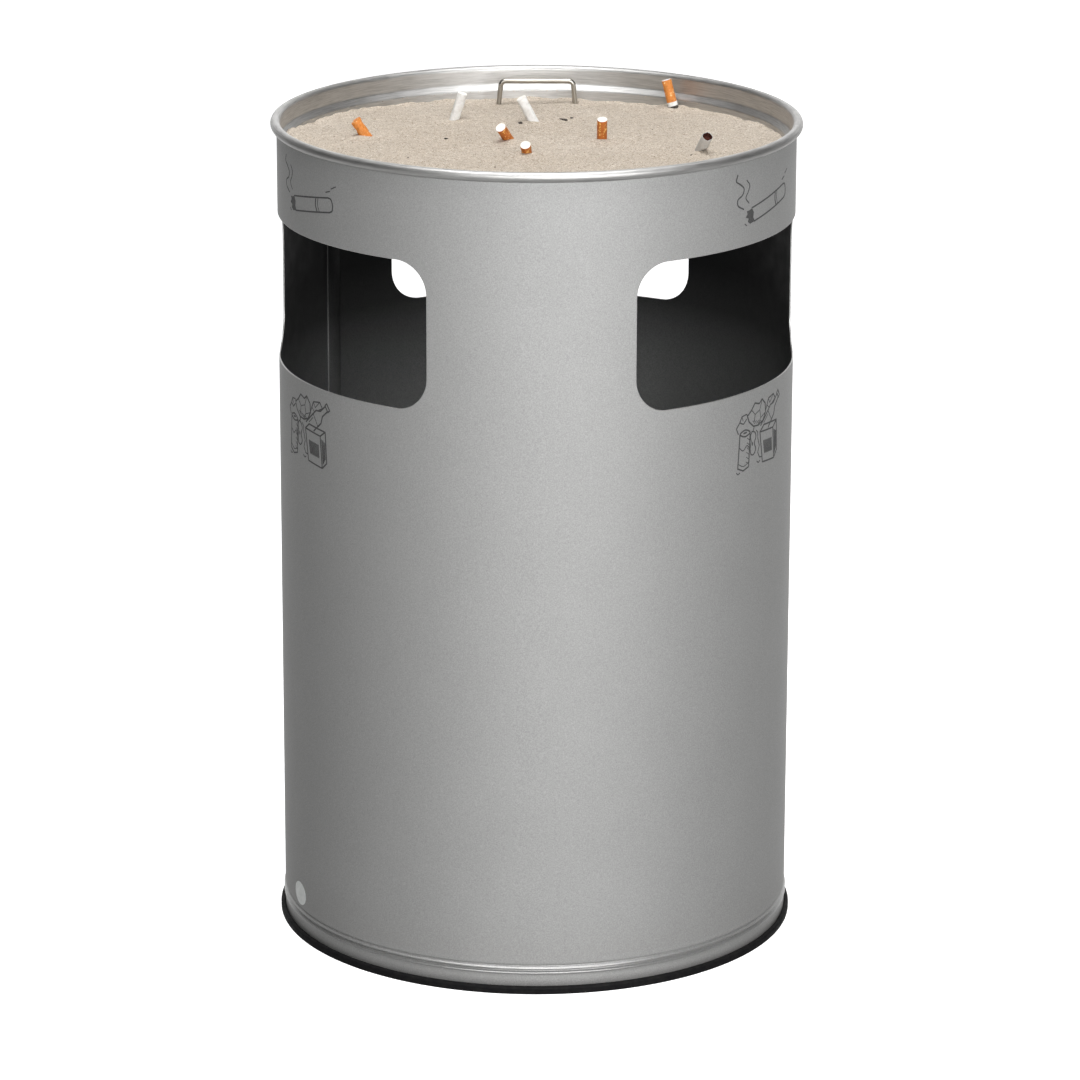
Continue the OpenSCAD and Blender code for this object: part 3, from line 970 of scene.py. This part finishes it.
def butt(i, x, y, lx, ly, h, kind, seed):
    """One cigarette butt, 36 mm long: a paper tube with its creases, and its filter or burnt end."""
    rng = np.random.default_rng(seed)
    v = np.array([lx / 10, ly / 10, 1.0])
    top = np.array([x, y, SAND_Z]) + v * h
    c, s = math.cos(TURN), math.sin(TURN)
    rot = np.array([[c, -s, 0], [s, c, 0], [0, 0, 1]])
    top, v = rot @ top, rot @ v
    top[2] -= 0.25
    axis, e1, e2 = (np.array(q) for q in frame_of(v))
    length, rad, m = 36.0, 3.86, 40
    stretch = math.sqrt(v @ v)
    wav = waves(seed, 26, 5.0, 14.0)
    amp = {"crushed": 0.30, "white": 0.13, "burnt": 0.22, "rust": 0.05, "stub": 0.07}[kind]
    bend = {"crushed": 0.9, "white": 0.2, "burnt": 0.6, "rust": 0.0, "stub": 0.15}[kind]
    squash = {"crushed": 0.10, "white": 0.05, "burnt": 0.06, "rust": 0.0, "stub": 0.0}[kind]
    ts = sorted(set(list(np.linspace(0, length, 46)) + ([length - h * stretch + 3.4] if kind == "stub" else [])))
    verts, faces, mats = [], [], []
    slots = {"crushed": [CORK_A, CORK_A, PAPER], "rust": [CORK_B, FIBRE, PAPER], "stub": [CORK_A, PAPER, ASH],
             "white": [PAPER, FIBRE, PAPER], "burnt": [ASHY, EMBER, ASH]}[kind]

    def centre(t):
        k = (t / length - 0.5)
        return top - axis * (length - t) + e1 * (bend * (math.cos(k * 5.0) - 0.5)) * 0.7 + e2 * bend * 0.35 * math.sin(k * 9 + seed)

    def ring(t, r, jag=0.0, crease=1.0):
        out = []
        for k in range(m):
            a = TAU * k / m
            rr = r * (1 + squash * math.cos(2 * a + seed)) + crease * amp * float(wav(a * 3.9, t * 1.05 + seed))
            if kind == "crushed":
                rr -= 0.28 * max(0.0, math.sin(t * 1.25 + 1.2 * math.sin(a + 1.0))) ** 3
            rr = min(rr, 4.12)
            tt = t + jag * (0.5 * math.sin(3 * a + seed) + 0.35 * math.sin(7 * a + 2 * seed) + 0.25 * rng.uniform(-1, 1))
            out.append(centre(t) + axis * (tt - t) + e1 * rr * math.cos(a) + e2 * rr * math.sin(a))
        return out

    def add(points):
        k = len(verts)
        verts.extend(map(tuple, points))
        return list(range(k, k + m))

    def band(a, b, mat):
        for k in range(m):
            faces.append([a[k], a[(k + 1) % m], b[(k + 1) % m], b[k]])
            mats.append(mat)

    def cap(a, point, mat, flip=False):
        k = len(verts)
        verts.append(tuple(point))
        for i2 in range(m):
            f = [a[i2], a[(i2 + 1) % m], k]
            faces.append(f[::-1] if flip else f)
            mats.append(mat)

    # buried end
    first = add(ring(0.25, rad * 0.9))
    cap(first, centre(0.1), 1 if kind != "burnt" else 0, True)
    prev = first
    jag_top = 0.55 if kind == "burnt" else (0.12 if kind in ("crushed", "white") else 0.04)
    stub_t = length - h * stretch + 3.4
    for q, t in enumerate(ts[1:], 1):
        last = q == len(ts) - 1
        cur = add(ring(t, rad, jag_top if last else 0.0))
        if kind == "stub":
            mat = 0 if t > stub_t + 0.3 else (1 if t > stub_t - 2.6 else 2)
        elif kind in ("crushed", "rust"):
            mat = 0 if t > 9 else 2
        else:
            mat = 0
        band(prev, cur, mat)
        prev = cur
    if kind == "burnt":
        inner = add(ring(length - 0.1, rad - 0.30, 0.5, 1.0))
        band(prev, inner, 0)
        deep = add(ring(length - 3.2, rad - 0.45, 0.2, 0.6))
        band(inner, deep, 1)
        mid = add(ring(length - 2.8, rad * 0.45, 0.4, 0.3))
        band(deep, mid, 1)
        cap(mid, centre(length - 2.2), 1)
    elif kind == "stub":
        inner = add(ring(length - 0.02, rad - 0.22, 0.04))
        band(prev, inner, 0)
        deep = add(ring(length - 0.25, rad - 0.36, 0.03))
        band(inner, deep, 1)
        mid = add(ring(length - 0.18, rad * 0.5, 0.1, 0.3))
        band(deep, mid, 1)
        cap(mid, centre(length - 0.1), 1)
    else:
        inner = add(ring(length + 0.02, rad - 0.16, jag_top))
        band(prev, inner, 1)
        deep = add(ring(length - 0.22, rad - 0.34, jag_top * 0.6))
        band(inner, deep, 1)
        mid = add(ring(length - 0.08, rad * 0.5, 0.12, 0.4))
        band(deep, mid, 1)
        cap(mid, centre(length + 0.02), 1)
    name = f"butt_{i + 1}_{'cork' if kind in ('crushed', 'rust', 'stub') else 'white'}"
    ob = outward(new_object(name, verts, faces, slots, mats, sharp=55))
    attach(ob, "sieve")
    return ob


made = [butt(i, *b) for i, b in enumerate(BUTTS)]
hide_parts("butts_cork")
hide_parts("butts_white")


# ---------------------------------------------------------------- sieve grip
def tube(path, r, m=24, caps=True):
    p = np.array(path, float)
    d = np.gradient(p, axis=0)
    d /= np.linalg.norm(d, axis=1)[:, None]
    n0 = np.cross(d[0], [0, 1, 0])
    if np.linalg.norm(n0) < 0.1:
        n0 = np.cross(d[0], [1, 0, 0])
    n0 /= np.linalg.norm(n0)
    verts, faces = [], []
    for i in range(len(p)):
        n0 = n0 - d[i] * (n0 @ d[i])
        n0 /= np.linalg.norm(n0)
        b = np.cross(d[i], n0)
        for k in range(m):
            a = TAU * k / m
            verts.append(tuple(p[i] + r * (n0 * math.cos(a) + b * math.sin(a))))
    for i in range(len(p) - 1):
        for k in range(m):
            a, b = i * m + k, i * m + (k + 1) % m
            faces.append([a, b, b + m, a + m])
    faces += [list(range(m))[::-1], [len(verts) - m + k for k in range(m)]]
    return verts, faces


def grip():
    c4 = 4.0
    bt = c4 * math.tan((math.pi / 2 - SPLAY) / 2)
    x = GRIP_W / 2 - bt
    half = [(0, GRIP_TOP), (x * 0.5, GRIP_TOP), (x, GRIP_TOP)]
    half += [(x + c4 * math.sin(t), GRIP_TOP - c4 + c4 * math.cos(t)) for t in np.linspace(0, math.pi / 2 - SPLAY, 10)[1:]]
    ex, ez = half[-1]
    drop = ez - (PLATE_TOP + 0.05)
    half += [(ex + math.tan(SPLAY) * drop * f, ez - drop * f) for f in np.linspace(0, 1, 10)[1:]]
    line = [(-a, b) for a, b in half[::-1]] + half[1:]
    path = []
    for a, b in line:
        tx, ty = turned(a, GRIP_Y)
        path.append((tx, ty, b))
    v, f = tube(path, GRIP_R - 0.03, 28)
    ob = outward(new_object("grip_wire", v, f, [GRIP], sharp=45))
    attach(ob, "sieve")
    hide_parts("sieve_grip")


grip()


# ---------------------------------------------------------------- printed signs, a design of their own
def strokes_to_mesh(drawings, r0, r1, width):
    """drawings: (angle, z, strokes, fills). Each stroke becomes a thin ribbon on the body."""
    verts, faces = [], []
    count = 0
    for angle, z, strokes, fills in drawings:
        for st in strokes:
            pts = st["p"]
            line = smooth_line(pts, 1.0, st.get("closed", False)) if st.get("smooth", True) else []
            if not st.get("smooth", True):
                q = pts + [pts[0]] if st.get("closed") else pts
                for a, b in zip(q, q[1:]):
                    seg = smooth_line([a, b], 1.0)
                    line += seg if not line else seg[1:]
            p = np.array(line, float)
            keep = [0] + [i for i in range(1, len(p)) if np.linalg.norm(p[i] - p[i - 1]) > 1e-6]
            p = p[keep]
            closed = st.get("closed", False)
            if closed:
                p = p[:-1]
                d = np.roll(p, -1, 0) - np.roll(p, 1, 0)
            else:
                d = np.gradient(p, axis=0)
            d /= np.linalg.norm(d, axis=1)[:, None]
            side = np.stack([-d[:, 1], d[:, 0]], 1)
            w = st.get("w", width) * 0.56
            top = r1 + 0.004 * (count % 9)
            count += 1
            left, right = p + side * w, p - side * w
            if not closed:
                left = np.vstack([p[0] - d[0] * w * 0.8 + side[0] * w * 0.5, left, p[-1] + d[-1] * w * 0.8 + side[-1] * w * 0.5])
                right = np.vstack([p[0] - d[0] * w * 0.8 - side[0] * w * 0.5, right, p[-1] + d[-1] * w * 0.8 - side[-1] * w * 0.5])
            n = len(left)
            k = len(verts)
            for a, b in zip(left, right):
                for q, r in ((a, top), (b, top), (b, r0), (a, r0)):
                    verts.append(wrap(q[0], q[1], r, angle, z))
            for i in range(n if closed else n - 1):
                a, b = k + 4 * i, k + 4 * ((i + 1) % n)
                for e in range(4):
                    g = (e + 1) % 4
                    faces.append([a + e, a + g, b + g, b + e])
            if not closed:
                faces.append([k, k + 1, k + 2, k + 3])
                e = k + 4 * (n - 1)
                faces.append([e + 3, e + 2, e + 1, e])
        for poly in fills:
            pts = smooth_line(poly["p"], 1.2, True)[:-1] if poly.get("smooth", True) else poly["p"]
            if not poly.get("smooth", True):
                dense = []
                for a, b in zip(pts, pts[1:] + pts[:1]):
                    dense += smooth_line([a, b], 1.5)[:-1]
                pts = dense
            pts = [np.array(q, float) for q in pts]
            area = sum(a[0] * b[1] - a[1] * b[0] for a, b in zip(pts, pts[1:] + pts[:1]))
            if area < 0:
                pts = pts[::-1]
            n = len(pts)
            k = len(verts)
            wide = max(q[0] for q in pts) - min(q[0] for q in pts)
            top = r1 - 0.01 + wide * wide / (8 * R)
            for r in (top, r0):
                verts.extend(wrap(q[0], q[1], r, angle, z) for q in pts)
            tess = tessellate_polygon([[Vector((q[0], q[1], 0)) for q in pts]])
            for t in tess:
                a, b, c = (pts[i] for i in t)
                t = list(t)
                if (b[0] - a[0]) * (c[1] - a[1]) - (b[1] - a[1]) * (c[0] - a[0]) < 0:
                    t = t[::-1]
                faces.append([k + i for i in t])
                faces.append([k + n + i for i in t[::-1]])
            for i in range(n):
                j = (i + 1) % n
                faces.append([k + i, k + n + i, k + n + j, k + j])
    return verts, faces


def tilt(points, deg, dx=0.0, dy=0.0):
    c, s = math.cos(math.radians(deg)), math.sin(math.radians(deg))
    return [(x * c - y * s + dx, x * s + y * c + dy) for x, y in points]


def smoke_sign():
    """A lit cigarette, seen from the side, and its smoke."""
    t = 9.0
    s, f = [], []
    dx, dy = 2.0, -7.0
    s.append({"p": tilt([(-19, 5.4), (33, 5.4)], t, dx, dy)})
    s.append({"p": tilt([(-18, -5.4), (33, -5.4)], t, dx, dy)})
    s.append({"p": tilt([(33, 5.4), (36.4, 4.2), (37.6, 0), (36.4, -4.2), (33, -5.4)], t, dx, dy)})
    s.append({"p": tilt([(17, 5.2), (15.6, 0), (17, -5.2)], t, dx, dy)})
    s.append({"p": tilt([(20, 5.2), (18.6, 0), (20, -5.2)], t, dx, dy), "w": 0.6})
    f.append({"p": tilt([(-19, 5.2), (-17.2, 1.5), (-18.4, -2), (-17.0, -5.4), (-23, -5.6), (-25.5, -3.4), (-24.2, -1.2), (-27.6, 0.6), (-25.0, 2.6), (-25.6, 5.0), (-22, 4.6)], t, dx, dy),
              "smooth": False})
    s.append({"p": tilt([(-29.2, -3.8), (-27.4, -5.6)], t, dx, dy), "w": 0.8})
    s.append({"p": [(-28, -4), (-34.5, -0.5), (-35.0, 4.0), (-29.5, 7.0), (-28.0, 11.5), (-33.0, 15.5), (-37.0, 18.0), (-35.5, 22.5)], "w": 1.0})
    s.append({"p": [(-21.5, -0.5), (-25.5, 4.0), (-22.5, 8.5), (-21.0, 13.0), (-24.5, 17.0)], "w": 0.8})
    s.append({"p": tilt([(31, 9.5), (36, 10.2)], t, dx, dy), "w": 0.8})
    s.append({"p": tilt([(38.0, 12.0), (43.5, 13.5)], t, dx, dy), "w": 0.8})
    return s, f


def litter_sign():
    """A small heap of litter: a can, a crumpled ball of paper, a bottle, a carton and a core."""
    s, f = [], []
    # can, on the left
    c = -4.0
    s.append({"p": tilt([(-6.5, 14), (-6.9, -12), (0, -14.4), (6.9, -12), (6.5, 14)], c, -23.0, -8.5), "smooth": False})
    s.append({"p": tilt([(-6.5, 14), (0, 16.6), (6.5, 14), (0, 11.6)], c, -23.0, -8.5), "closed": True})
    s.append({"p": tilt([(-6.8, -8.5), (0, -11.0), (6.8, -8.5)], c, -23.0, -8.5), "w": 0.6})
    s.append({"p": tilt([(-1.8, 14.2), (1.6, 14.6)], c, -23.0, -8.5), "w": 1.2})
    s.append({"p": tilt([(-6.6, 4.0), (-1.5, 1.0), (3.0, 4.4), (6.6, 2.0)], c, -23.0, -8.5), "w": 0.7})
    # paper ball, top left
    ball = [(-17, 13), (-19.5, 18), (-14, 21.5), (-9.5, 26), (-3.0, 24.2), (1.0, 27.0), (6.2, 22.4), (6.8, 15.8), (3.0, 10.2), (-4.0, 8.0), (-11.0, 8.6)]
    s.append({"p": ball, "closed": True, "smooth": False})
    s.append({"p": [(-14, 21.5), (-9.0, 17.2), (-10.2, 12.0)], "smooth": False, "w": 0.6})
    s.append({"p": [(-9.0, 17.2), (-2.2, 19.4), (1.0, 26.6)], "smooth": False, "w": 0.6})
    s.append({"p": [(-2.2, 19.4), (-0.6, 13.0), (-4.4, 8.4)], "smooth": False, "w": 0.6})
    s.append({"p": [(-0.6, 13.0), (6.4, 15.4)], "smooth": False, "w": 0.6})
    # bottle, leaning to the right
    b = -52.0
    s.append({"p": tilt([(-5.4, -16), (-5.4, 4), (-2.2, 9), (-2.2, 17.5), (2.2, 17.5), (2.2, 9), (5.4, 4), (5.4, -9)], b, 15.5, 12.5), "smooth": False})
    s.append({"p": tilt([(-2.9, 17.5), (2.9, 17.5), (2.9, 20.4), (-2.9, 20.4)], b, 15.5, 12.5), "closed": True, "smooth": False})
    s.append({"p": tilt([(-5.4, -1.5), (5.4, -1.5)], b, 15.5, 12.5), "w": 0.6})
    s.append({"p": tilt([(-3.2, -3.8), (-3.2, -11.5)], b, 15.5, 12.5), "w": 0.6})
    # carton, bottom right
    s.append({"p": [(-1.5, 2.0), (3.0, -22.0), (23.0, -23.6), (20.6, 0.6)], "closed": True, "smooth": False})
    s.append({"p": [(-1.5, 2.0), (4.6, 6.4), (27.4, 5.0), (20.6, 0.6)], "smooth": False})
    s.append({"p": [(27.4, 5.0), (29.0, -18.6), (23.0, -23.6)], "smooth": False})
    for k in range(8):
        s.append({"p": [(4.6 + 1.86 * k, -6.2 - 0.1 * k), (6.4 + 1.74 * k, -15.6 - 0.1 * k)], "smooth": False, "w": 1.25})
    # core, bottom centre, and a crumb or two
    s.append({"p": [(-13.0, 5.0), (-9.0, 3.6), (-7.4, 0.0), (-9.4, -4.6), (-7.6, -9.6), (-10.6, -13.2), (-14.0, -12.6)], "w": 0.9})
    s.append({"p": [(-13.0, 5.0), (-15.0, 1.6), (-14.0, -2.8), (-15.2, -8.2), (-14.0, -12.6)], "w": 0.9})
    s.append({"p": [(-11.4, 4.8), (-10.2, 8.0)], "w": 0.9})
    f.append({"p": [(-12.2, -3.0), (-11.2, -4.6), (-12.0, -6.4), (-12.9, -4.8)]})
    s.append({"p": [(-5.4, -19.6), (-3.2, -21.0), (-1.0, -19.8)], "w": 0.8})
    s.append({"p": [(-32.0, -23.0), (-30.4, -24.4), (-28.2, -23.6)], "w": 0.8})
    # a torn bag behind the can, a folded sheet between the ball and the bottle, and shading
    s.append({"p": [(-30.5, 6.5), (-33.0, 11.0), (-29.0, 15.0), (-24.5, 13.0), (-20.5, 16.0)], "smooth": False, "w": 0.9})
    s.append({"p": [(-29.0, 15.0), (-26.4, 19.2), (-20.4, 19.8), (-19.0, 17.4)], "smooth": False, "w": 0.9})
    s.append({"p": [(-26.4, 19.2), (-24.8, 15.6)], "smooth": False, "w": 0.6})
    s.append({"p": [(7.2, 17.0), (11.5, 25.0), (20.5, 26.5), (24.0, 22.5), (19.0, 20.0)], "smooth": False, "w": 0.9})
    s.append({"p": [(11.5, 25.0), (14.0, 21.0), (20.5, 26.5)], "smooth": False, "w": 0.6})
    s.append({"p": [(9.0, 20.4), (13.0, 17.6)], "smooth": False, "w": 0.6})
    for k in range(5):
        s.append({"p": [(-12.0 + 2.6 * k, 13.0 - 0.5 * k), (-9.6 + 2.6 * k, 10.2 - 0.3 * k)], "smooth": False, "w": 0.55})
    for k in range(6):
        s.append({"p": tilt([(3.2, 10.0 - 3.6 * k), (5.9, 8.4 - 3.6 * k)], -4.0, -23.0, -8.5), "smooth": False, "w": 0.55})
    for k in range(6):
        s.append({"p": [(22.4 + 0.9 * k, -1.5 - 0.4 * k), (24.2 + 0.62 * k, -20.5 + 0.9 * k)], "smooth": False, "w": 0.5})
    s.append({"p": [(-4.6, -2.0), (-2.2, -8.0), (-4.4, -13.0), (-1.6, -17.2), (1.4, -17.6)], "smooth": False, "w": 0.8})
    s.append({"p": [(-7.0, 4.6), (-4.8, 2.6), (-4.6, -2.0)], "smooth": False, "w": 0.8})
    return s, f


def signs():
    drawings = []
    for a in OPENINGS:
        drawings.append((a, 588.0, *smoke_sign()))
        drawings.append((a, 408.0, *litter_sign()))
    v, f = strokes_to_mesh(drawings, R - 0.03, R + 0.07, 1.08)
    ob = outward(new_object("printed_signs", v, f, [INK], smooth=False))
    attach(ob, "bin")


signs()


def label():
    """A blank oval sticker near the foot."""
    m = Mat("blank_label", (0.74, 0.76, 0.74), 0.35, 0.0)
    m.color(m.ramp(m.noise(300, 3.0), [(0.3, (0.66, 0.69, 0.67)), (0.7, (0.80, 0.82, 0.80))]))
    m.bump(m.noise(900, 2.0), 0.00004, 0.4)
    verts, faces = [], []
    rings, seg = [(1.0, -0.02), (1.0, 0.05), (0.97, 0.075), (0.6, 0.08), (0.25, 0.08)], 48
    for k, dr in rings:
        for i in range(seg):
            a = TAU * i / seg
            verts.append(wrap(11.5 * k * math.cos(a), 9.0 * k * math.sin(a), R + dr, -66.5, 34.0))
    verts.append(wrap(0, 0, R + 0.08, -66.5, 34.0))
    verts.append(wrap(0, 0, R - 0.1, -66.5, 34.0))
    for q in range(len(rings) - 1):
        for i in range(seg):
            a, b = q * seg + i, q * seg + (i + 1) % seg
            faces.append([a, b, b + seg, a + seg])
    e = (len(rings) - 1) * seg
    for i in range(seg):
        faces.append([e + i, e + (i + 1) % seg, len(verts) - 2])
        faces.append([(i + 1) % seg, i, len(verts) - 1])
    ob = outward(new_object("blank_sticker", verts, faces, [m.m], sharp=50))
    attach(ob, "bin")


label()

# ---------------------------------------------------------------- CAD nodes that stay
for node, mat in (("floor_pan", ZINC_PAN), ("liner_wall", ZINC), ("liner_floor", ZINC), ("bail_ear_left", ZINC), ("bail_ear_right", ZINC),
                  ("ear_rivets", RIVET), ("bail_handle", WIRE), ("sieve_plate", SIEVE)):
    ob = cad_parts[node]
    ob.data.materials.clear()
    ob.data.materials.append(mat)

# ---------------------------------------------------------------- floor, light and camera
def stage():
    bm = bmesh.new()
    bmesh.ops.create_grid(bm, x_segments=8, y_segments=8, size=14)
    me = bpy.data.meshes.new("floor")
    bm.to_mesh(me)
    bm.free()
    floor = bpy.data.objects.new("floor", me)
    bpy.context.scene.collection.objects.link(floor)
    m = Mat("floor_white", (0.80, 0.80, 0.80), 0.9, 0.0, Specular_IOR_Level=0.0)
    m.b.inputs["Emission Color"].default_value = (1, 1, 1, 1)
    m.b.inputs["Emission Strength"].default_value = 0.92
    floor.data.materials.append(m.m)
    floor.visible_diffuse = False
    floor.visible_glossy = False

    bm = bmesh.new()
    bmesh.ops.create_icosphere(bm, subdivisions=4, radius=16)
    me = bpy.data.meshes.new("backdrop")
    bm.to_mesh(me)
    bm.free()
    dome = bpy.data.objects.new("backdrop", me)
    bpy.context.scene.collection.objects.link(dome)
    w = bpy.data.materials.new("backdrop_white")
    w.use_nodes = True
    nt = w.node_tree
    nt.nodes.remove(nt.nodes["Principled BSDF"])
    em = nt.nodes.new("ShaderNodeEmission")
    em.inputs["Color"].default_value = (1, 1, 1, 1)
    em.inputs["Strength"].default_value = 1.0
    nt.links.new(em.outputs[0], nt.nodes["Material Output"].inputs["Surface"])
    dome.data.materials.append(w)
    dome.visible_diffuse = False
    dome.visible_glossy = False
    dome.visible_transmission = False
    dome.visible_shadow = False


stage()


def light(name, az, height, dist, size_x, size_y, power, aim_z=0.32, color=(1, 1, 1), spread=180):
    data = bpy.data.lights.new(name, "AREA")
    data.shape = "RECTANGLE"
    data.size, data.size_y = size_x, size_y
    data.energy = power
    data.color = color
    data.spread = math.radians(spread)
    ob = bpy.data.objects.new(name, data)
    a = math.radians(az)
    ob.location = (dist * math.sin(a), -dist * math.cos(a), height)
    ob.rotation_mode = "QUATERNION"
    ob.rotation_quaternion = (Vector((0, 0, aim_z)) - ob.location).to_track_quat("-Z", "Y")
    bpy.context.scene.collection.objects.link(ob)
    return ob


for az, power in ((-12, 31), (9, 52), (30, 55)):
    light(f"softbox_{az}", az, 1.3, 3.4, 1.0, 2.2, power, 0.45)
light("top", 0, 3.0, 0.35, 2.0, 1.6, 69, 0.6)

world = bpy.data.worlds.new("studio")
bpy.context.scene.world = world
world.use_nodes = True
nt = world.node_tree
bg = nt.nodes["Background"]
tc = nt.nodes.new("ShaderNodeTexCoord")
sep = nt.nodes.new("ShaderNodeSeparateXYZ")
nt.links.new(tc.outputs["Generated"], sep.inputs[0])


def side_light(out, low, high, level, sign=1):
    """The studio's white wall behind the object, or its floor, as light from that side."""
    if sign < 0:
        neg = nt.nodes.new("ShaderNodeMath")
        neg.operation = "MULTIPLY"
        neg.inputs[1].default_value = -1
        nt.links.new(out, neg.inputs[0])
        out = neg.outputs[0]
    rp = nt.nodes.new("ShaderNodeValToRGB")
    e = rp.color_ramp.elements
    e[0].position, e[0].color = low, (0, 0, 0, 1)
    e[1].position, e[1].color = high, (level, level, level, 1)
    nt.links.new(out, rp.inputs["Fac"])
    return rp.outputs["Color"]


add = nt.nodes.new("ShaderNodeMix")
add.data_type = "RGBA"
add.blend_type = "ADD"
add.inputs[0].default_value = 1.0
nt.links.new(side_light(sep.outputs["Y"], 0.3, 0.95, 0.43), add.inputs[6])
nt.links.new(side_light(sep.outputs["Z"], 0.05, 0.6, 0.5, -1), add.inputs[7])
rim = nt.nodes.new("ShaderNodeMix")
rim.data_type = "RGBA"
rim.blend_type = "ADD"
rim.inputs[0].default_value = 1.0
nt.links.new(add.outputs[2], rim.inputs[6])
nt.links.new(side_light(sep.outputs["Y"], 0.74, 1.0, 1.45), rim.inputs[7])
nt.links.new(rim.outputs[2], bg.inputs["Color"])
bg.inputs["Strength"].default_value = 1.0

bpy.context.scene.view_settings.view_transform = "Standard"

cam_data = bpy.data.cameras.new("camera")
cam_data.sensor_width = 36.0
cam_data.lens = 5026.14 / 1080 * 36.0
cam_data.clip_start, cam_data.clip_end = 0.1, 100.0
cam = bpy.data.objects.new("camera", cam_data)
bpy.context.scene.collection.objects.link(cam)
bpy.context.scene.camera = cam
dist, high, pitch, yaw, roll, orbit = 3.700, 1.400, 0.2901, 0.0009, -0.0028, math.radians(1.07)
fwd = Vector((math.sin(yaw) * math.cos(pitch), math.cos(yaw) * math.cos(pitch), -math.sin(pitch)))
right = Vector((math.cos(yaw), -math.sin(yaw), 0))
down = fwd.cross(right)
r2 = right * math.cos(roll) + down * math.sin(roll)
d2 = down * math.cos(roll) - right * math.sin(roll)
basis = Matrix((r2, -d2, -fwd)).transposed().to_4x4()
cam.matrix_world = Matrix.Rotation(orbit, 4, "Z") @ Matrix.Translation((0, -dist, high)) @ basis

bpy.context.view_layer.update()
